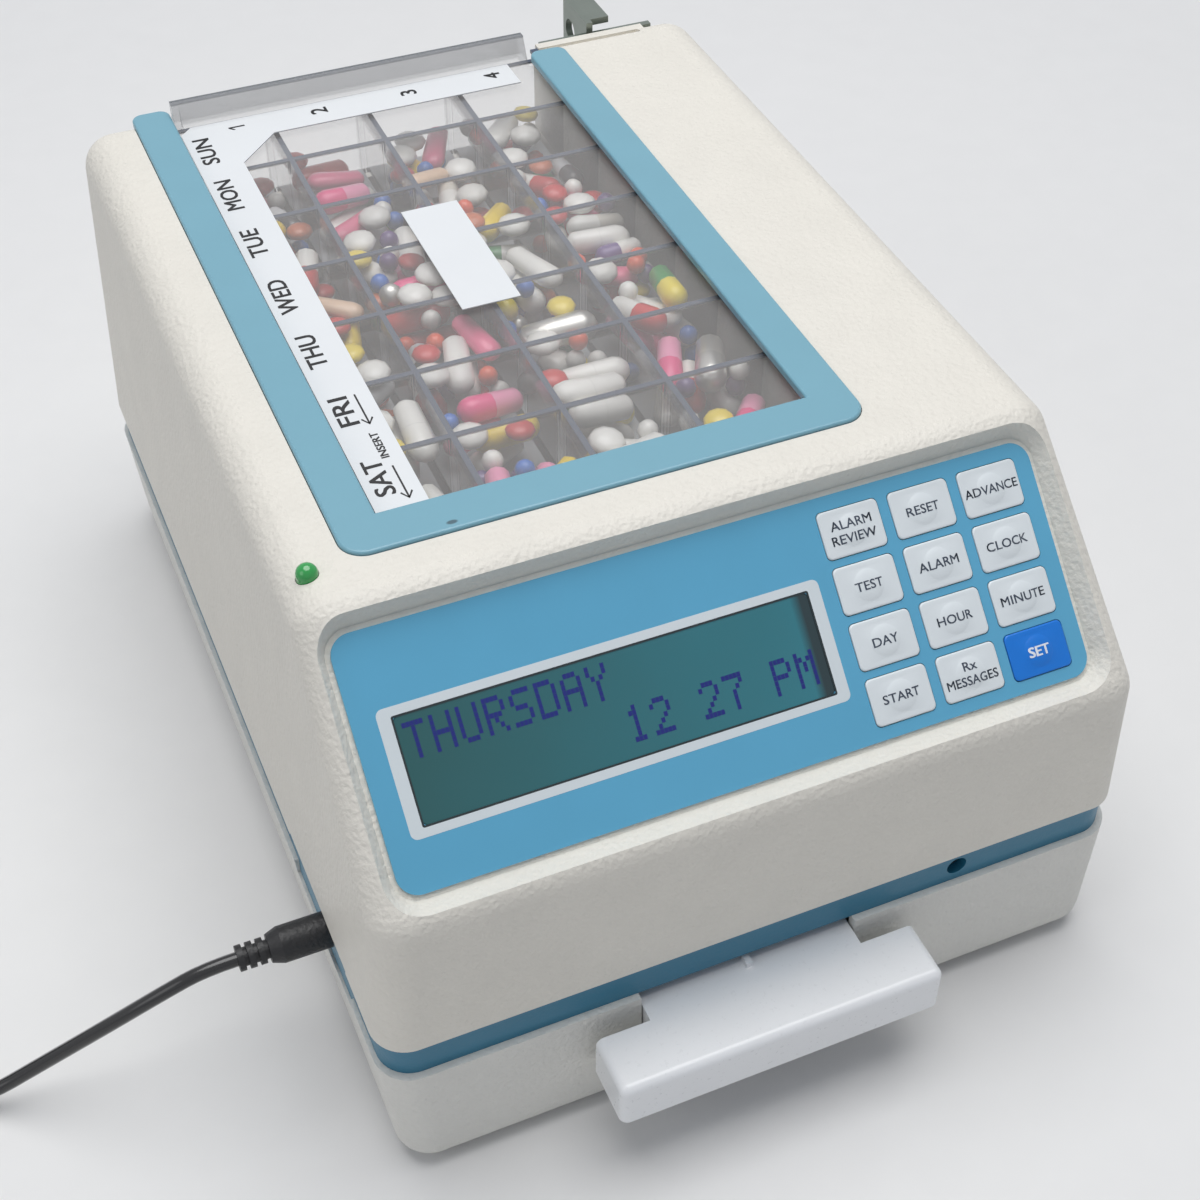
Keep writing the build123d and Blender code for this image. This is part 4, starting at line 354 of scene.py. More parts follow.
@dataclass(frozen=True)
class Cells(ClearPlastic):
    """The tray's plastic, dense along the tops of its dividers and where they cross.

    The first divider and the pitch are given along X and along Y. The inner dividers are the
    long ones within a reach of a middle along X.
    """

    first: Pair = (-40.0, 177.85)
    pitch: Pair = (27.4, 26.0)
    wall: float = 1.1
    sharpness: float = 8.0
    skirt: float = 5.0
    solid: float = 2.2
    inner: Pair = (-12.6, 40.0)
    long_share: float = 0.8
    cross_share: float = 0.2

    def near(self, graph: Graph, axis: str, first: float, pitch: float) -> Value:
        """Return where a place lies on one of the evenly spaced dividers across an axis."""
        steps = (graph.axis(axis) - first) / (pitch * MM)
        away = (steps - steps.maths("ROUND", steps)).size() * pitch
        return ((self.wall - away) * self.sharpness).clamp()

    def dense(self, graph: Graph) -> Value:
        """Return the dense tops, the deeper tops of the long dividers and the crossings."""
        middle, reach = self.inner
        inside = (reach * MM - (graph.axis("X") - middle * MM).size()).step(0.0, MM)
        long = self.near(graph, "X", self.first[0] * MM, self.pitch[0]) * inside
        cross = self.near(graph, "Y", (self.first[1] - ORIGIN_Y) * MM, self.pitch[1])
        deep = graph.level(self.band[0] - self.skirt, self.band[0] - self.solid)
        share = long * deep * self.long_share + long * cross * self.cross_share
        return (super().dense(graph) + share).clamp()


@dataclass(frozen=True)
class LidPlastic(ClearPlastic):
    """The lid's plastic: a clear plate with a pale painted reflection sheen, a smoky upturned
    flange and its darker rim.
    """

    rim: Pair = (140.75, 140.875)
    rim_share: float = 0.5

    def dense(self, graph: Graph) -> Value:
        """Return the flange's share and the rim's."""
        flange = super().dense(graph) * (1 - self.rim_share)
        return flange + graph.level(*self.rim) * self.rim_share


@dataclass(frozen=True)
class Display(Finish):
    """The dark glass of the display, with a painted reflection that lightens it to its upper right
    and a painted shade at its right end.
    """

    # light and dark are the two ends of the painted reflection across the glass, clouded by noise.
    light: Colour = (38, 124, 138)
    dark: Colour = (20, 80, 78)
    left: float = -77.5
    width: float = 98.0
    slope: float = 0.75
    cloud: float = 30.0
    cloud_share: float = 0.3
    # The right end is painted shade: the shaded wall beside the recessed glass, with its dark
    # reflection.
    end: Pair = (0.955, 0.98)
    painted_end_shade: Colour = (22, 50, 56)

    def tint(self, graph: Graph) -> Any:
        """Return the glass with its painted reflection and the painted shade at its right end."""
        across = (graph.axis("X") - self.left * MM) / (self.width * MM)
        shade = (across * self.slope + graph.noise(self.cloud) * self.cloud_share).clamp()
        glass = graph.mix(self.dark, self.light, shade)
        return graph.mix(glass, self.painted_end_shade, across.step(*self.end))


@dataclass(frozen=True)
class Metal(Finish):
    """Bare or plated steel with fine drawn lines."""

    metallic: float = 1.0
    roughness: float = 0.34
    stretch: Triple = (1, 0.06, 1)


@dataclass(frozen=True)
class Threaded(Metal):
    """A steel screw with a rolled thread along Y."""

    pitch: float = 2.0
    wave: float = 0.314
    depth: float = 0.6

    def surface(self, graph: Graph, grain: Value) -> None:
        """Add the thread's ridges."""
        ridges = graph.read("Fac", "ShaderNodeTexWave", bands_direction="Y",
                            Vector=graph.place, Scale=self.wave / (self.pitch * MM))
        graph.relief(ridges, self.depth)


@dataclass(frozen=True)
class Populated(Finish):
    """A circuit board, green up to its upper face and dark where its parts stand."""

    colour: Colour = (24, 98, 62)
    roughness: float = 0.42
    grain: float = 0.8
    relief: float = 0.01
    mottle: float = 0.15
    coat: float = 0.2
    top: float = 0.0
    track: float = 2.6
    track_level: float = 0.52
    track_sharpness: float = 14.0
    track_colour: Colour = (40, 132, 84)
    part_sharpness: float = 9000.0
    part_colour: Colour = (34, 35, 37)

    def tint(self, graph: Graph) -> Any:
        """Return board green below the face and black parts above it."""
        tracks = (graph.noise(self.track, 0.0) - self.track_level) * self.track_sharpness
        board = graph.mix(self.colour, self.track_colour, tracks.clamp())
        parts = (graph.axis("Z") - self.top) * self.part_sharpness
        return graph.mix(board, self.part_colour, parts.clamp())


@dataclass(frozen=True)
class PillSkin(Finish):
    """The skin of every pill, in the two colours that each one carries."""

    sharpness: float = 60.0
    seam: float = 0.03
    seam_share: float = 0.25
    seam_colour: Colour = (96, 96, 100)
    speck: float = 0.5
    speck_level: float = 0.62
    speck_sharpness: float = 6.0
    speck_share: float = 0.2
    speck_colour: Colour = (200, 196, 188)

    def material(self) -> Material:
        """Return a material that reads the pills' own colours."""
        graph = Graph(self.name)
        along = graph.attribute("along")
        half = (along * self.sharpness + 0.5).clamp()
        seam = (1.0 - (along - self.seam).size() * self.sharpness).clamp() * self.seam_share
        skin = graph.mix(graph.attribute("tint_a", "Color"), graph.attribute("tint_b", "Color"),
                         half)
        skin = graph.mix(skin, self.seam_colour, seam)
        speck = (graph.noise(self.speck) - self.speck_level) * self.speck_sharpness
        skin = graph.mix(skin, self.speck_colour, speck.clamp() * self.speck_share)
        graph.set(Base_Color=skin, Metallic=graph.attribute("shine"), Roughness=self.roughness,
                  Coat_Weight=self.coat)
        graph.relief(graph.noise(self.grain), self.relief)
        return graph.material


@dataclass(frozen=True)
class Ground(Finish):
    """The floor, which goes over into the bright surroundings with distance."""

    near: float = 420.0
    far: float = 1150.0

    def surface(self, graph: Graph, grain: Value) -> None:
        """Add the relief, and the far part as the camera sees it."""
        graph.relief(grain, self.relief)
        away = graph.read("Value", "ShaderNodeVectorMath", graph.place, operation="LENGTH")
        share = away.step(self.near * MM, self.far * MM)
        share = share * share * (3.0 - 2.0 * share)
        glow = graph.node("ShaderNodeEmission", linear(SURROUNDINGS), 1.0)
        blend = graph.node("ShaderNodeMixShader", share * camera_rays(graph.tree).clamp(),
                           graph.shader.outputs[0], glow.outputs[0])
        feed(graph.output.inputs[0], blend.outputs[0])


def camera_rays(tree: NodeTree) -> Value:
    """Return 1 for what the camera sees, straight or through clear plastic."""
    path = add_node(tree, "ShaderNodeLightPath").outputs
    return Value(path["Is Camera Ray"]) + Value(path["Is Transmission Ray"])


class Look(Enum):
    """The finishes of the dispenser's pieces."""

    SHELL = SparkTexture("cream_shell", (236, 231, 220), 0.5, 1.0, 0.4, 0.05)
    SHELL_LOW = SparkTexture("lower_shell", (231, 229, 222), 0.5, 1.0, 0.4, 0.05)
    BAND = Finish("teal_band", (44, 122, 152), 0.42, 0.9, 0.05, 0.06, 0.1)
    BEZEL = Bezel("teal_bezel", (122, 173, 190), 0.34, 0.6, 0.006, 0.04, 0.2)
    OVERLAY = Finish("blue_overlay", (95, 174, 210), 0.36, 0.35, 0.008, 0.05, 0.15)
    KEY = Finish("grey_key", (230, 236, 238), 0.36, 0.4, 0.006, 0.03, 0.1)
    KEY_BLUE = Finish("blue_key", (4, 122, 222), 0.34, 0.4, 0.006, 0.05, 0.1)
    LEGEND = Finish("grey_legend", (62, 72, 88), 0.5, 0.3, 0.002, 0.1)
    LEGEND_WHITE = Finish("white_legend", (240, 244, 250), 0.5, 0.3, 0.002, 0.04)
    # The display glass carries a painted reflection and a painted shade at its right end.
    GLASS = Display("display_glass_painted_reflection", (46, 100, 106), 0.16, 4.0, 0.004, 0.1, 0.35)
    DOTS = Finish("display_dots", (18, 34, 128), 0.4, 0.3, 0.002, 0.15)
    FRAME = Finish("printed_frame", (222, 230, 233), 0.4, 0.5, 0.003, 0.04)
    # The dark band round the display glass is a painted shadow gap.
    FRAME_SHADOW_GAP = Finish("painted_shadow_gap", (30, 44, 48), 0.4, 0.5, 0.003, 0.1)
    # The tray's pale colour is painted light: paler than the slate of its smoky plastic, to lift
    # the shade in the cells.
    TRAY = Cells("smoke_tray_painted_light", (200, 198, 196), 0.14, 2.0, 0.006, 0.05, 0.3,
                 density=0.035, edge_density=0.14, band=(131.3, 131.8), band_colour=(60, 74, 96),
                 band_density=0.9)
    # The lid's pale colour at its even density is a painted reflection sheen, which also lifts the
    # shade in the cells.
    LID = LidPlastic("clear_lid_painted_sheen", (232, 228, 224), 0.10, 3.0, 0.006, 0.04, 0.4,
                     density=0.085, edge_density=0.16, band=(134.2, 134.9),
                     band_colour=(84, 90, 98), band_density=0.5)
    DOORS = ClearPlastic("frosted_doors", (206, 210, 214), 0.3, 1.2, 0.01, 0.05,
                         density=0.85, edge_density=0.15)
    PAPER = Finish("white_label", (232, 234, 235), 0.55, 0.5, 0.008, 0.025)
    INK = Finish("label_ink", (22, 22, 24), 0.5, 0.3, 0.002, 0.2)
    DRAWER = Finish("white_drawer", (246, 247, 248), 0.3, 1.0, 0.006, 0.025, 0.2)
    INNER = SparkTexture("grey_inner", (196, 198, 198), 0.5, 0.9, 0.06, 0.06)
    STEEL = Metal("drawn_steel", (176, 178, 176), relief=0.01, mottle=0.12)
    LOCK = Metal("lock_steel", (150, 158, 150), roughness=0.38, relief=0.02, mottle=0.14)
    BRIGHT = Metal("bright_screws", (198, 198, 194), roughness=0.28, relief=0.01, mottle=0.1)
    THREAD = Threaded("lead_thread", (182, 184, 184), mottle=0.1)
    BLACK = SparkTexture("black_moulding", (38, 38, 40), 0.42, 0.6, 0.05, 0.2)
    RUBBER = Finish("grey_rubber", (92, 92, 94), 0.75, 0.8, 0.05, 0.15)
    CELLS = Finish("cell_sleeve", (70, 92, 120), 0.35, 0.8, 0.01, 0.15, 0.3)
    CORD = Finish("black_cord", (26, 26, 27), 0.24, 0.5, 0.006, 0.15, 0.4)
    PLUG = SparkTexture("black_plug", (34, 34, 36), 0.42, 0.7, 0.16, 0.2)
    LAMP = Finish("green_lamp", (28, 172, 74), 0.16, 1.6, 0.01, 0.2, 0.8)
    FLOOR = Ground("pale_floor", (238, 237, 235), 0.7, 30.0, 0.02, 0.02)
    PILLS = PillSkin("pill_skin", (255, 255, 255), 0.32, 0.8, 0.01, 0.0, 0.25)

    def material(self) -> Material:
        """Return the look's one material, made at its first use."""
        found = bpy.data.materials.get(self.value.name)
        return found or self.value.material()


# --- meshes

LETTER_STEPS = 3
LAYER_GAP = 0.002


def quads(low: int, high: int, count: int) -> list[tuple[int, ...]]:
    """Return the faces between two closed rings, from the number of each one's first point."""
    turns = [(i, (i + 1) % count) for i in range(count)]
    return [(low + i, low + j, high + j, high + i) for i, j in turns]


@dataclass
class Shape:
    """A mesh in the making: points in millimetres, faces and their looks."""

    points: list[Vector] = field(default_factory=list)
    faces: list[tuple[int, ...]] = field(default_factory=list)
    looks: list[Look] = field(default_factory=list)
    marks: list[tuple[int, bool]] = field(default_factory=list)

    def add(self, points: Points, faces: Points, look: Look, smooth: bool = False) -> None:
        """Add points and faces with one look."""
        first = len(self.points)
        if look not in self.looks:
            self.looks.append(look)
        self.points += [Vector(p) for p in points]
        self.faces += [tuple(first + i for i in face) for face in faces]
        self.marks += [(self.looks.index(look), smooth)] * len(faces)

    def flat(self, corners: Points, level: float, look: Look) -> None:
        """Add one flat face at a level from its corners."""
        self.add([(*corner, level) for corner in corners], [range(len(corners))], look)

    def bar(self, low: Pair, high: Pair, level: float, look: Look) -> None:
        """Add one flat rectangle between two opposite corners."""
        self.flat([low, (high[0], low[1]), high, (low[0], high[1])], level, look)

    def band(self, outer: list[Vector], inner: list[Vector], centre: Vector, look: Look) -> None:
        """Add the band between two rings."""
        count = len(outer)
        self.add([p + centre for p in outer + inner], quads(0, count, count), look)

    def loft(self, rings: Sequence[Points], look: Look, smooth: bool = False,
             base: bool = False) -> None:
        """Skin rings from the bottom, closed on the last and, with a base, on the first."""
        count = len(rings[0])
        points = [p for ring in rings for p in ring]
        faces = []
        for first in range(0, len(points) - count, count):
            faces += quads(first, first + count, count)
        faces.append(tuple(range(len(points) - count, len(points))))
        if base:
            faces.append(tuple(reversed(range(count))))
        self.add(points, faces, look, smooth)

    def words(self, text: str, centre: Triple, length: float, height: float, look: Look,
              bold: float = 0.0, stretch: float = 1.0) -> None:
        """Add flat lettering.

        Args:
            text: The letters.
            centre: The middle of the letters, in the shape's millimetres.
            length: How long the letters run, or 0 for their natural length.
            height: The height of the capitals.
            look: The ink.
            bold: How far the strokes are widened to each side, in millimetres.
            stretch: How much wider than natural the letters run, without a length.
        """
        curve = bpy.data.curves.new("words", "FONT")
        curve.body = text
        curve.resolution_u = LETTER_STEPS
        letters = linked("words", curve)
        view = bpy.context.evaluated_depsgraph_get()
        mesh = bpy.data.meshes.new_from_object(letters.evaluated_get(view))
        bpy.data.objects.remove(letters)
        low, high = ([pick(v.co[i] for v in mesh.vertices) for i in range(2)]
                     for pick in (min, max))
        rise = height / (high[1] - low[1])
        run = length / (high[0] - low[0]) if length else rise * stretch
        middle = [(low[i] + high[i]) / 2 for i in range(2)]
        points = [Vector((centre[0] + (v.co.x - middle[0]) * run,
                          centre[1] + (v.co.y - middle[1]) * rise, centre[2]))
                  for v in mesh.vertices]
        faces = [tuple(p.vertices) for p in mesh.polygons]
        shifts = ((-1, -0.5), (-1, 0.5), (1, -0.5), (1, 0.5)) if bold else ((0, 0),)
        for layer, (x, y) in enumerate(shifts):
            shift = Vector((x * bold, y * bold, layer * LAYER_GAP))
            self.add([p + shift for p in points], faces, look)
        bpy.data.meshes.remove(mesh)

    def build(self, name: str, plane: Plane) -> Object:
        """Return the shape as an object whose place is in its mesh."""
        mesh = bpy.data.meshes.new(name)
        mesh.from_pydata([tuple(p) for p in self.points], [], self.faces)
        for polygon, (look, smooth) in zip(mesh.polygons, self.marks):
            polygon.material_index = look
            polygon.use_smooth = smooth
        for look in self.looks:
            mesh.materials.append(look.material())
        mesh.transform(plane.matrix())
        mesh.update()
        return linked(name, mesh)


def rounded(width: float, height: float, radius: float, level: float,
            steps: int = 5) -> list[Vector]:
    """Return the outline of a rectangle with round corners, anticlockwise.

    Args:
        width: Full width.
        height: Full height.
        radius: Corner radius.
        level: Height of the ring above the plane.
        steps: Points on each corner.

    Returns:
        The ring's points.
    """
    ring = []
    for corner, (sx, sy) in enumerate(((1, 1), (-1, 1), (-1, -1), (1, -1))):
        for step in range(steps):
            turn = math.radians(90 * corner + 90 * step / (steps - 1))
            ring.append(Vector((sx * (width / 2 - radius) + radius * math.cos(turn),
                                sy * (height / 2 - radius) + radius * math.sin(turn), level)))
    return ring


# --- repeats by Geometry Nodes


class Growth:
    """A Geometry Nodes tree under construction."""

    def __init__(self, name: str, inputs: dict[str, tuple[str, float]]) -> None:
        """Start a tree with a geometry in and out and the named inputs."""
        self.tree = bpy.data.node_groups.new(name, "GeometryNodeTree")
        self.node = partial(add_node, self.tree)
        face = self.tree.interface
        face.new_socket("Geometry", in_out="INPUT", socket_type="NodeSocketGeometry")
        self.numbers: dict[str, float] = {}
        for label, (kind, number) in inputs.items():
            socket = face.new_socket(label, in_out="INPUT", socket_type=kind)
            self.numbers[socket.identifier] = number
        face.new_socket("Geometry", in_out="OUTPUT", socket_type="NodeSocketGeometry")
        self.start = self.node("NodeGroupInput").outputs

    def named(self, name: str, kind: str) -> NodeSocket:
        """Return an attribute of the points as a field."""
        node = self.node("GeometryNodeInputNamedAttribute", data_type=kind, Name=name)
        return next(s for s in node.outputs if s.enabled and s.name == "Attribute")

    def end(self, parts: Sequence[Node], look: Look) -> None:
        """Join the parts, make them real and give them their material."""
        joined = self.node("GeometryNodeJoinGeometry")
        for part in parts:
            feed(joined.inputs[0], part.outputs[0])
        real = self.node("GeometryNodeRealizeInstances", joined.outputs[0])
        dressed = self.node("GeometryNodeSetMaterial", real.outputs[0], Material=look.material())
        smooth = self.node("GeometryNodeSetShadeSmooth", dressed.outputs[0])
        self.node("NodeGroupOutput", smooth.outputs[0])

    def apply(self, name: str, mesh: Mesh, plane: Plane) -> Object:
        """Run the tree on a mesh of points.

        Args:
            name: The new piece's name.
            mesh: The points, in the plane's millimetres.
            plane: Where the result lies.

        Returns:
            A plain mesh object with its place in its mesh.
        """
        seed = linked(name, mesh)
        modifier = seed.modifiers.new("growth", "NODES")
        modifier.node_group = self.tree
        for identifier, number in self.numbers.items():
            modifier[identifier] = number
        view = bpy.context.evaluated_depsgraph_get()
        grown = bpy.data.meshes.new_from_object(seed.evaluated_get(view),
                                                preserve_all_data_layers=True, depsgraph=view)
        seed.modifiers.clear()
        seed.data = grown
        grown.name = name
        grown.transform(plane.matrix())
        return seed


# --- view and light


@dataclass(frozen=True)
class Studio:
    """The camera, the pale floor and the soft lamps."""

    eye: Triple = (-145.7233, -285.1742, 416.5776)
    right: Triple = (0.915712, -0.401589, 0.014095)
    down: Triple = (-0.271242, -0.643611, -0.715676)
    ahead: Triple = (0.296479, 0.651530, -0.698290)
    sensor: float = 36.0
    lens: float = 57.764
    shift: Pair = (-0.02378, 0.00393)
    lamps: tuple[tuple[str, Triple, float, float], ...] = (
        ("overhead", (0.08, 0.14, 1.38), 1.3, 15.2),
        ("left_fill", (-1.3, -0.3, 0.9), 1.0, 2.4))
    aim: Triple = (0.0, 0.0, 0.05)
    sky: Colour = (232, 240, 255)
    ambient: float = 0.29
    glossy: float = 0.6
    floor_size: float = 5200.0
    floor_corner: float = 300.0
    floor_level: float = -0.02
    nearest: float = 0.01

    def camera(self) -> None:
        """Place the camera."""
        data = bpy.data.cameras.new("camera")
        data.sensor_fit = "HORIZONTAL"
        data.sensor_width = self.sensor
        data.lens = self.lens
        data.shift_x, data.shift_y = self.shift
        data.clip_start = self.nearest
        eye = linked("camera", data)
        place = at(*self.eye)
        rows = [[self.right[i], -self.down[i], -self.ahead[i], place[i]] for i in range(3)]
        eye.matrix_world = Matrix((*rows, (0, 0, 0, 1)))
        bpy.context.scene.camera = eye

    def light(self) -> None:
        """Place the lamps and the soft surrounding light."""
        for name, place, size, power in self.lamps:
            data = bpy.data.lights.new(name, "AREA")
            data.shape = "DISK"
            data.size = size
            data.energy = power
            lamp = linked(name, data)
            lamp.location = place
            towards = Vector(self.aim) - Vector(place)
            lamp.rotation_euler = towards.to_track_quat("-Z", "Y").to_euler()
        world = bpy.context.scene.world or bpy.data.worlds.new("world")
        bpy.context.scene.world = world
        world.use_nodes = True
        tree = world.node_tree
        tree.nodes.clear()
        node = partial(add_node, tree)
        skies = [node("ShaderNodeBackground", linear(colour), strength).outputs[0]
                 for colour, strength in ((self.sky, self.ambient), (SURROUNDINGS, 1.0))]
        glossy = Value(node("ShaderNodeLightPath").outputs["Is Glossy Ray"]) * self.glossy
        blend = node("ShaderNodeMixShader", (camera_rays(tree) + glossy).clamp(), *skies)
        node("ShaderNodeOutputWorld", blend.outputs[0])
        bpy.context.scene.view_settings.view_transform = "Standard"

    def floor(self) -> None:
        """Lay the pale floor."""
        shape = Shape()
        shape.loft([rounded(self.floor_size, self.floor_size, self.floor_corner,
                            self.floor_level, 9)], Look.FLOOR)
        floor = shape.build("floor", WORLD_MM)


# --- power lead


@dataclass(frozen=True)
class PowerLead:
    """The black lead: from the plug down to the table, round its tied coil, to the adapter.

    Each of the coil's lanes has a number of turns, and the radius and the layer there.
    """

    start: Triple = (-118.5, -8.4, 41.6)
    run: tuple[Triple, ...] = (
        (-126.5, -8.4, 41.6), (-136.1, -8.3, 38.2), (-147.9, -5.6, 30.0), (-159.6, -1.8, 20.5),
        (-170.6, 1.5, 12.0), (-180.6, 3.5, 5.6), (-193.0, 6.4, 2.3), (-209.0, 7.8, 1.75),
        (-221.5, 7.0, 1.9))
    centre: Pair = (-240.0, 28.0)
    lanes: tuple[Triple, ...] = (
        (0, 25.25, 0), (3, 14.75, 0), (3.25, 14.75, 1), (6.25, 25.25, 1), (6.4, 25.25, 1),
        (6.65, 25.25, 2), (8, 25.25, 2))
    level: float = 2.55
    diameter: float = 3.5
    length: float = 1.136
    turns: float = 7.22
    per_turn: int = 14
    rounding: float = 0.98
    tail: tuple[Triple, ...] = (
        (-265.6, 39.0, 9.55), (-265.4, 48.0, 6.6), (-262.4, 58.0, 2.4), (-264.0, 70.5, 2.6),
        (-268.0, 84.0, 5.0), (-268.0, 92.0, 5.0))

    def lane(self, turn: float) -> Pair:
        """Return the radius and height of the coil's line after some turns."""
        start, end = next(pair for pair in zip(self.lanes, self.lanes[1:])
                          if turn <= pair[1][0])
        share = (turn - start[0]) / (end[0] - start[0])
        radius, layer = (start[i] + (end[i] - start[i]) * share for i in (1, 2))
        return radius, self.level + self.diameter * layer

    def route(self) -> list[Triple]:
        """Return the control points of the lead in millimetres."""
        points = [self.start, *self.run]
        reach = 1 / math.cos(math.pi / self.per_turn) ** self.rounding
        for step in range(-1, int(self.turns * self.per_turn) + 1):
            radius, height = self.lane(max(step, 0) / self.per_turn)
            angle = -math.pi / 2 - 2 * math.pi * step / self.per_turn
            points.append((self.centre[0] + radius * reach * math.cos(angle),
                           self.centre[1] + radius * reach * math.sin(angle), height))
        return points + list(self.tail)

    def make(self, nodes: Nodes) -> None:
        """Lay the lead, with its plug, tie and adapter on it."""
        data = bpy.data.curves.new("power_lead", "CURVE")
        data.dimensions = "3D"
        spline = data.splines.new("NURBS")
        route = self.route()
        spline.points.add(len(route) - 1)
        for point, place in zip(spline.points, route):
            point.co = (*at(*place), 1.0)
        spline.order_u = 3
        spline.use_endpoint_u = True
        spline.resolution_u = 4
        data.bevel_depth = self.diameter / 2 * MM
        data.bevel_resolution = 3
        data.use_fill_caps = True
        data.materials.append(Look.CORD.material())
        lead = linked("power_lead", data)
        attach(lead, "casing")
        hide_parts("power_cord", "cord_coil")


# --- casing


@dataclass(frozen=True)
class Casing:
    """Every CAD node with the finish that it gets."""

    looks: tuple[tuple[Look, tuple[str, ...]], ...] = (
        (Look.SHELL, ("upper_case",)),
        (Look.SHELL_LOW, ("lower_case", "battery_door")),
        (Look.BAND, ("mid_frame",)),
        (Look.BEZEL, ("tray_bezel",)),
        (Look.OVERLAY, ("panel_overlay",)),
        (Look.GLASS, ("lcd_window",)),
        (Look.LAMP, ("led_lamp",)),
        (Look.TRAY, ("pill_tray",)),
        (Look.LID, ("tray_lid",)),
        (Look.DOORS, ("trap_doors", *(f"sunday_door_{number}" for number in range(1, 5)))),
        (Look.PAPER, ("day_label", "plain_label")),
        (Look.DRAWER, ("drawer",)),
        (Look.INNER, ("pill_chute",)),
        (Look.STEEL, ("rod_brackets", "guide_rods", "drive_motor", "trip_comb", "lift_solenoid",
                      "dome_switches")),
        (Look.THREAD, ("lead_screw",)),
        (Look.LOCK, ("lock_bar",)),
        (Look.BRIGHT, ("lock_rivets", "case_screws", "board_screws", "door_screw")),
        (Look.BLACK, ("trip_carriage", "buzzer", "dc_jack", "battery_holder", "power_adapter")),
        (Look.CELLS, ("battery_cells",)),
        (Look.RUBBER, ("rubber_feet",)),
        (Look.PLUG, ("power_plug", "cord_tie")))
    boards: tuple[tuple[str, float], ...] = (
        ("control_board", 1.6), ("keypad_board", 60.0), ("lcd_module", 60.0))

    def dress(self, nodes: Nodes) -> None:
        """Give each node its finish."""
        for look, names in self.looks:
            for name in names:
                self.paint(nodes[name], look.material())
        for name, thickness in self.boards:
            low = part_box(name)[0][2]
            board = Populated(name + "_skin", top=low + thickness * MM)
            self.paint(nodes[name], board.material())

    def paint(self, node: Object, material: Material) -> None:
        """Put one material in every slot of a node."""
        for place in node.material_slots:
            place.material = material


# --- keypad


@dataclass(frozen=True)
class Key:
    """One key cap with a soft edge, a round dome and its legend.

    The profile has the inset of each ring of the cap and its height over the flat top. A print
    has the boldness of the letters, their size against the capital and their stretch.
    """

    node: str
    lines: tuple[str, ...]
    column: int
    row: int
    size: Pair = (15.5, 11.1)
    corner: float = 1.3
    corner_steps: int = 7
    top: float = -3.6
    profile: tuple[Pair, ...] = ((0, -0.9), (0, -0.35), (0.07, -0.13), (0.2, -0.03),
                                 (0.42, 0), (1.2, 0))
    dome: float = 3.9
    dome_rise: float = 0.5
    dome_flat: float = 0.05
    dome_power: float = 2.6
    dome_rings: tuple[float, ...] = (1.0, 0.93, 0.82, 0.64, 0.4, 0.15)
    capital: float = 2.1
    line_gap: float = 1.6
    ink: float = 0.05
    grey_print: Triple = (0.035, 1.0, 1.08)
    white_print: Triple = (0.11, 1.12, 1.08)
    widest: int = 6
    pitch: Pair = (18.32, 13.14)
    field_centre: Pair = (54.0, 35.3)

    def centre(self) -> Vector:
        """Return the key's middle on the panel."""
        return Vector((self.field_centre[0] + (self.column - 1) * self.pitch[0],
                       -(self.field_centre[1] + (self.row - 1.5) * self.pitch[1]), 0))

    def make(self) -> None:
        """Make the cap, riding on its button."""
        blue = self.node == "set"
        middle = self.centre()
        width, height = self.size
        rings = [rounded(width - 2 * inset, height - 2 * inset, self.corner, self.top + level,
                         self.corner_steps) for inset, level in self.profile]
        rings += self.crown(len(rings[0]))
        shape = Shape()
        shape.loft([[p + middle for p in ring] for ring in rings],
                   Look.KEY_BLUE if blue else Look.KEY, smooth=True, base=True)
        self.print_legend(shape, middle, blue)
        cap = shape.build("cap_" + self.node, PANEL)
        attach(cap, "button_" + self.node)
        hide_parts("key_" + self.node)

    def rise(self, share: float) -> float:
        """Return how far the dome stands over the cap at a share of its radius."""
        if share >= 1:
            return 0.0
        slope = max(share - self.dome_flat, 0) / (1 - self.dome_flat)
        return self.dome_rise * (1 - slope ** self.dome_power)

    def crown(self, count: int) -> list[list[Vector]]:
        """Return the rings of the round dome."""
        step = 2 * math.pi / count
        first = math.pi / 4 - (count // 4 - 1) / 2 * step
        turns = [first + i * step for i in range(count)]
        return [[Vector((self.dome * share * math.cos(turn), self.dome * share * math.sin(turn),
                         self.top + self.rise(share))) for turn in turns]
                for share in self.dome_rings]

    def print_legend(self, shape: Shape, middle: Vector, white: bool) -> None:
        """Lay the legend on the cap's dome, in bolder and larger letters if it is white."""
        look = Look.LEGEND_WHITE if white else Look.LEGEND
        bold, grow, stretch = self.white_print if white else self.grey_print
        first = len(shape.points)
        for place, line in enumerate(self.lines):
            drop = self.capital * self.line_gap * (place - (len(self.lines) - 1) / 2)
            shape.words(line, (0, -drop, 0), 0, self.capital * grow, look, bold,
                        1.0 if len(line) > self.widest else stretch)
        for point in shape.points[first:]:
            share = math.hypot(point.x, point.y) / self.dome
            point.z = self.top + self.rise(share) + self.ink
            point += middle


@dataclass(frozen=True)
class Keypad:
    """The twelve keys of the panel."""

    legends: tuple[tuple[str, tuple[str, ...]], ...] = (
        ("alarm_review", ("ALARM", "REVIEW")), ("reset", ("RESET",)), ("advance", ("ADVANCE",)),
        ("test", ("TEST",)), ("alarm", ("ALARM",)), ("clock", ("CLOCK",)),
        ("day", ("DAY",)), ("hour", ("HOUR",)), ("minute", ("MINUTE",)),
        ("start", ("START",)), ("messages", ("Rx", "MESSAGES")), ("set", ("SET",)))

    def make(self) -> None:
        """Make every key in its column and row."""
        for place, (node, lines) in enumerate(self.legends):
            Key(node, lines, place % 3, place // 3).make()


# --- display

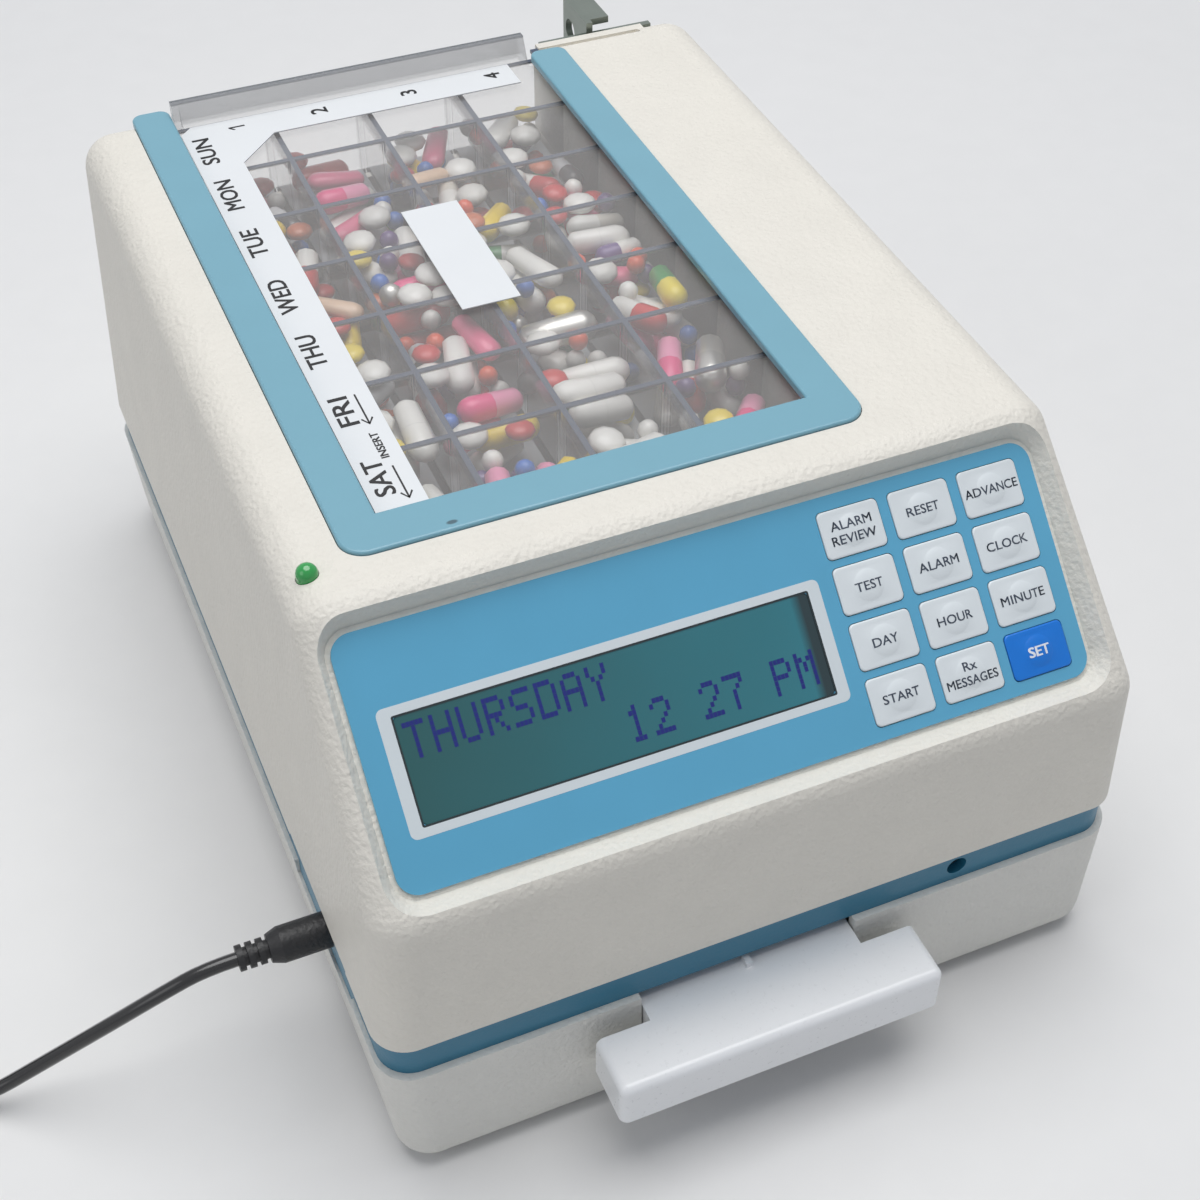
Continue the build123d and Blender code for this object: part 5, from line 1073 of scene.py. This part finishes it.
GLYPHS = {"T": "31 4 4 4 4 4 4", "H": "17 17 17 31 17 17 17", "U": "17 17 17 17 17 17 14",
          "R": "15 17 17 15 5 9 17", "S": "30 1 1 14 16 16 15", "D": "15 17 17 17 17 17 15",
          "A": "14 17 17 31 17 17 17", "Y": "17 17 10 4 4 4 4", "1": "4 6 4 4 4 4 14",
          "2": "14 17 16 8 4 2 31", "7": "31 16 8 4 4 4 4", "P": "15 17 17 15 1 1 1",
          "M": "17 27 21 21 17 17 17"}


@dataclass(frozen=True)
class Readout:
    """The display: its printed frame, the painted shadow gap round the glass and the lit dots."""

    centre: Pair = (-28.5, 38.2)
    frame: Pair = (104.8, 28.6)
    # From the line's size in to the glass runs the painted shadow gap round the recessed glass.
    line: Pair = (98.9, 24.5)
    glass: Pair = (98.0, 23.6)
    face: float = -4.0
    print_rise: float = 0.04
    dots_level: float = -4.07
    lines: tuple[str, str] = ("THURSDAY", "        12 27 PM")
    start: Pair = (-76.2, 28.0)
    letter: Pair = (5.95, 10.75)
    dot: Pair = (0.94, 1.17)
    gap: float = 0.07

    def make_frame(self) -> None:
        """Print the pale frame with a thin dark band at the glass, a painted shadow gap where the
        glass sits deeper.
        """
        rise = self.print_rise
        rings = [rounded(*size, corner, self.face + level, 6) for size, corner, level in (
            (self.frame, 1.6, -0.02), (self.frame, 1.6, rise), (self.line, 0.5, rise),
            (self.glass, 0.3, rise), (self.glass, 0.3, -0.1))]
        # The last two bands are the painted shadow gap at the glass.
        looks = (Look.FRAME, Look.FRAME, Look.FRAME_SHADOW_GAP, Look.FRAME_SHADOW_GAP)
        middle = Vector((self.centre[0], -self.centre[1], 0))
        shape = Shape()
        for outer, inner, look in zip(rings, rings[1:], looks):
            shape.band(outer, inner, middle, look)
        piece = shape.build("readout_frame", PANEL)
        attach(piece, "casing")

    def lit(self) -> list[Triple]:
        """Return the middle of every lit dot on the panel."""
        places = []
        for row, words in enumerate(self.lines):
            for column, letter in enumerate(words):
                left = self.start[0] + column * self.letter[0]
                top = self.start[1] + row * self.letter[1]
                for down, bits in enumerate(GLYPHS.get(letter, "").split()):
                    places += [(left + (side + 0.5) * self.dot[0],
                                -(top + (down + 0.5) * self.dot[1]), self.dots_level)
                               for side in range(5) if int(bits) >> side & 1]
        return places

    def make_dots(self) -> None:
        """Repeat one dot on every lit place."""
        mesh = bpy.data.meshes.new("dot_places")
        mesh.from_pydata(self.lit(), [], [])
        growth = Growth("dot_grid", {"Dot width": ("NodeSocketFloat", self.dot[0] - self.gap),
                                     "Dot height": ("NodeSocketFloat", self.dot[1] - self.gap)})
        start = growth.start
        dot = growth.node("GeometryNodeMeshGrid", start["Dot width"], start["Dot height"], 2, 2)
        grid = growth.node("GeometryNodeInstanceOnPoints", start["Geometry"],
                           Instance=dot.outputs[0])
        growth.end([grid], Look.DOTS)
        dots = growth.apply("readout_dots", mesh, PANEL)
        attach(dots, "casing")


# --- tray


@dataclass(frozen=True)
class DayLabel:
    """The printing of the label on the lid: days, doses and two arrows.

    Each line has its text, the place of its middle, and its length or 0 for the natural one.
    The flag and the barbs are outlines from the top of the figure one and from an arrow's tip.
    """

    lines: tuple[tuple[str, float, float, float], ...] = (
        ("SUN", 186.6, 61.3, 13.6), ("MON", 163.0, 61.3, 15.0), ("TUE", 138.4, 61.3, 13.0),
        ("WED", 112.7, 61.3, 15.0), ("THU", 88.0, 61.3, 13.7), ("FRI", 62.9, 61.3, 10.9),
        ("SAT", 37.3, 61.3, 12.8), ("2", 195.9, 26.3, 0), ("3", 195.9, -0.4, 0),
        ("4", 195.9, -26.2, 0))
    capital: float = 4.6
    bold: float = 0.13
    insert: tuple[str, float, float, float] = ("INSERT", 48.2, 57.5, 9.6)
    insert_capital: float = 1.9
    insert_bold: float = 0.09
    one: Pair = (196.25, 50.1)
    one_half: float = 0.32
    one_flag: tuple[Pair, ...] = ((-0.32, 0), (-1.4, -1.15), (-1.4, -1.75), (-0.32, -0.85))
    arrows: tuple[Pair, ...] = ((68.2, 56.4), (40.2, 28.3))
    arrow_line: float = 57.0
    arrow_half: float = 0.22
    arrow_barb: tuple[Pair, ...] = ((-0.3, 0), (2.0, 1.5), (2.4, 1.2), (0.3, 0))
    level: float = 0.04

    def make(self) -> None:
        """Print everything as one thin piece on the label."""
        shape = Shape()
        for line in self.lines:
            self.print_line(shape, line, self.capital, self.bold)
        self.print_line(shape, self.insert, self.insert_capital, self.insert_bold)
        self.print_one(shape)
        for tail, tip in self.arrows:
            self.print_arrow(shape, tail, tip)
        piece = shape.build("label_print", LABEL)
        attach(piece, "lid")

    def print_line(self, shape: Shape, line: tuple[str, float, float, float], capital: float,
                   bold: float) -> None:
        """Print letters round their middle, at a given length or at their natural one."""
        text, x, y, length = line
        shape.words(text, (x, y, self.level), length, capital, Look.INK, bold)

    def print_arrow(self, shape: Shape, tail: float, tip: float) -> None:
        """Print a shaft from a tail to a tip, and the barbs at the tip."""
        line, half = self.arrow_line, self.arrow_half
        shape.bar((tip, line - half), (tail, line + half), self.level, Look.INK)
        for side in (-1, 1):
            barb = [(tip + x, line + side * y) for x, y in self.arrow_barb]
            shape.flat(barb[::-side], self.level, Look.INK)

    def print_one(self, shape: Shape) -> None:
        """Print the figure one: a stem and its flag."""
        x, half = self.one[0], self.one_half
        low, high = (self.one[1] + side * self.capital / 2 for side in (-1, 1))
        shape.bar((x - half, low), (x + half, high), self.level, Look.INK)
        shape.flat([(x + dx, high + dy) for dx, dy in self.one_flag], self.level, Look.INK)


class Form(Enum):
    """The kinds of pill: length over width, thickness over width."""

    CAPSULE = (2.5, 1.0)
    OBLONG = (2.3, 0.72)
    ROUND = (1.0, 0.48)
    BEAD = (1.0, 1.0)


@dataclass(frozen=True)
class Pill:
    """One kind of pill: its form, width, two colours, share of the heap and metal shine."""

    form: Form
    width: float
    first: Colour
    second: Colour
    share: float
    shine: float = 0.0


WHITE = (238, 236, 230)
RED = (206, 34, 38)
SILVER = (206, 205, 200)
TWO_COLOURED = (
    (7.2, WHITE, WHITE, 10), (6.6, WHITE, (222, 216, 204), 5),
    (8.4, SILVER, (222, 220, 214), 4, 0.75), (7.2, RED, WHITE, 7), (7.4, RED, (222, 60, 56), 8),
    (7.0, (236, 214, 40), (36, 146, 64), 8), (6.6, WHITE, (34, 138, 70), 5),
    (7.0, (236, 60, 132), (240, 150, 184), 8), (6.2, (52, 52, 56), (204, 204, 206), 4),
    (5.8, (96, 60, 132), WHITE, 4), (6.8, (240, 208, 30), (240, 208, 30), 4))
PLAIN = (
    (Form.OBLONG, 7.6, WHITE, 12), (Form.OBLONG, 6.0, (232, 198, 168), 2),
    (Form.OBLONG, 6.8, (238, 106, 146), 5), (Form.ROUND, 9.4, WHITE, 13),
    (Form.ROUND, 7.6, RED, 7), (Form.ROUND, 7.4, (206, 104, 52), 4),
    (Form.ROUND, 7.8, (240, 214, 60), 4), (Form.BEAD, 5.4, (86, 54, 120), 5),
    (Form.BEAD, 5.2, (30, 108, 200), 7), (Form.BEAD, 5.2, (236, 84, 36), 8),
    (Form.BEAD, 5.4, WHITE, 7), (Form.BEAD, 6.4, SILVER, 5, 0.7))
KINDS = (*(Pill(Form.CAPSULE, *kind) for kind in TWO_COLOURED),
         *(Pill(form, width, colour, colour, *rest) for form, width, colour, *rest in PLAIN))
Lying = tuple[Vector, Vector, Pill, float]


@dataclass
class Heap:
    """The pills of one cell, dropped one by one on a map of heights."""

    centre: Pair
    rise: float
    dice: random.Random
    floor: float = 109.5
    size: Pair = (25.3, 23.9)
    cell: float = 1.4
    tries: int = 14
    tilt: float = 0.16
    heights: dict[tuple[int, int], float] = field(default_factory=dict)
    pills: list[Lying] = field(default_factory=list)

    def drop(self, pill: Pill) -> bool:
        """Drop a pill where it comes to lie lowest.

        Args:
            pill: The kind of pill.

        Returns:
            Whether it fitted under the heap's top.
        """
        radius = pill.width / 2
        reach, thick = (radius * part for part in pill.form.value)
        best = None
        for _ in range(self.tries):
            turn = self.dice.uniform(0, math.pi)
            axis = Vector((math.cos(turn), math.sin(turn)))
            room = [self.size[i] / 2 - radius - abs(axis[i]) * (reach - radius)
                    for i in range(2)]
            if min(room) < 0:
                continue
            middle = Vector([self.dice.uniform(-r, r) for r in room])
            under = self.under(middle, axis, radius, reach - radius, thick)
            level = max([self.heights.get(key, self.floor) + lift for key, lift in under.items()],
                        default=self.floor + thick)
            if best is None or level < best[0]:
                best = (level, middle, turn, under)
        if best is None or best[0] + thick > self.rise:
            return False
        level, middle, turn, under = best
        for key, lift in under.items():
            self.heights[key] = level + lift
        place = Vector((self.centre[0] + middle.x, self.centre[1] + middle.y, level))
        lies_on_pills = level - thick > self.floor + 1
        tilt = self.dice.uniform(-self.tilt, self.tilt) if lies_on_pills else 0.0
        turned = Vector((0, math.pi / 2 + tilt, turn))
        self.pills.append((place, turned, pill, self.dice.random()))
        return True

    def under(self, middle: Vector, axis: Vector, radius: float, half: float,
              thick: float) -> dict[tuple[int, int], float]:
        """Return how far the pill hangs below its middle over each square of the map."""
        squares = {}
        span = int((radius + half) / self.cell) + 1
        base = (round(middle.x / self.cell), round(middle.y / self.cell))
        for i in range(base[0] - span, base[0] + span + 1):
            for j in range(base[1] - span, base[1] + span + 1):
                offset = Vector((i * self.cell, j * self.cell)) - middle
                along = max(-half, min(half, offset.dot(axis)))
                away = (offset - axis * along).length / radius
                if away < 1:
                    squares[(i, j)] = thick * math.sqrt(1 - away * away)
        return squares


@dataclass(frozen=True)
class Pills:
    """The pills of all cells, made as one piece that rides in the tray.

    Their lengths are the least share of the full length and how much chance adds to it.
    """

    columns: tuple[float, ...] = (-53.7, -26.3, 1.1, 28.5)
    rows: tuple[float, ...] = (190.85, 164.85, 138.85, 112.85, 86.85, 60.85, 34.85)
    rises: tuple[float, ...] = (121.5, 125.0, 127.5, 129.0, 129.0, 129.0, 128.0)
    uneven: float = 1.5
    seed: int = 41
    count: int = 30
    misses: int = 12
    segments: int = 10
    rings: int = 6
    barrel: float = 0.75
    lengths: Pair = (0.94, 0.12)

    def heaps(self) -> list[Lying]:
        """Return the place, turn and kind of every pill."""
        dice = random.Random(self.seed)
        shares = [kind.share for kind in KINDS]
        found = []
        for y, rise in zip(self.rows, self.rises):
            for x in self.columns:
                heap = Heap((x, y), rise + dice.uniform(-self.uneven, self.uneven), dice)
                misses = 0
                while len(heap.pills) < self.count and misses < self.misses:
                    misses += not heap.drop(dice.choices(KINDS, shares)[0])
                found += heap.pills
        return found

    def points(self, pills: list[Lying]) -> Mesh:
        """Return one point for each pill with its turn, size, kind and colours."""
        mesh = bpy.data.meshes.new("pill_places")
        mesh.from_pydata([tuple(place) for place, *_ in pills], [], [])
        kinds = {"turn": "FLOAT_VECTOR", "size": "FLOAT_VECTOR", "long": "FLOAT",
                 "shine": "FLOAT", "tint_a": "FLOAT_COLOR", "tint_b": "FLOAT_COLOR"}
        for name, kind in kinds.items():
            mesh.attributes.new(name, kind, "POINT")
        turns, sizes, longs, shines, *tints = (mesh.attributes[name].data for name in kinds)
        least, spread = self.lengths
        for place, (_, turn, pill, chance) in enumerate(pills):
            width, thick = pill.width, pill.width * pill.form.value[1]
            long = pill.form in (Form.CAPSULE, Form.OBLONG)
            if long:
                sizes[place].vector = (thick, width, width * (least + spread * chance))
                turns[place].vector = turn
            else:
                sizes[place].vector = (width, width, thick)
                turns[place].vector = (turn.y - math.pi / 2, 0, turn.z)
            longs[place].value = float(long)
            shines[place].value = pill.shine
            for tint, colour in zip(tints, (pill.first, pill.second)):
                tint[place].color = linear(colour)
        return mesh

    def tree(self) -> Growth:
        """Return the tree that puts a capsule or a rounded tablet on each point."""
        growth = Growth("pill_heap", {"Segments": ("NodeSocketInt", self.segments),
                                      "Rings": ("NodeSocketInt", self.rings),
                                      "Barrel": ("NodeSocketFloat", self.barrel)})
        node, start = growth.node, growth.start
        ball = node("GeometryNodeMeshUVSphere", start["Segments"], start["Rings"], 0.5)
        spot = node("ShaderNodeSeparateXYZ", node("GeometryNodeInputPosition").outputs[0])
        height = Value(spot.outputs["Z"])
        push = height.maths("SIGN", height) * Value(start["Barrel"])
        barrel = node("GeometryNodeSetPosition", ball.outputs[0],
                      Offset=node("ShaderNodeCombineXYZ", Z=push).outputs[0])
        long = Value(growth.named("long", "FLOAT"))
        turn = node("FunctionNodeEulerToRotation", growth.named("turn", "FLOAT_VECTOR"))
        size = growth.named("size", "FLOAT_VECTOR")
        parts = []
        for body, operation in ((barrel, "GREATER_THAN"), (ball, "LESS_THAN")):
            marked = node("GeometryNodeStoreNamedAttribute", data_type="FLOAT", domain="POINT",
                          Geometry=body.outputs[0], Name="along", Value=height)
            parts.append(node("GeometryNodeInstanceOnPoints", start["Geometry"],
                              Selection=long.maths(operation, long, 0.5),
                              Instance=marked.outputs[0], Rotation=turn.outputs[0], Scale=size))
        growth.end(parts, Look.PILLS)
        return growth

    def make(self) -> int:
        """Fill the cells and return the number of pills."""
        pills = self.heaps()
        piece = self.tree().apply("pills", self.points(pills), WORLD_MM)
        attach(piece, "tray")
        return len(pills)


# --- the dispenser


def main() -> None:
    """Dress the dispenser and report each piece."""
    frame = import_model()
    studio = Studio()
    studio.camera()
    PowerLead().make(frame["nodes"])
    LOG.info("laid the power lead")
    studio.light()
    studio.floor()
    Casing().dress(frame["nodes"])
    LOG.info("dressed %d nodes", len(frame["nodes"]))
    Keypad().make()
    LOG.info("made the keys")
    readout = Readout()
    readout.make_frame()
    readout.make_dots()
    LOG.info("made the display")
    DayLabel().make()
    LOG.info("made %d pills", Pills().make())


if __name__ == "__main__":
    logging.basicConfig(level=logging.INFO, format="%(message)s")
    main()
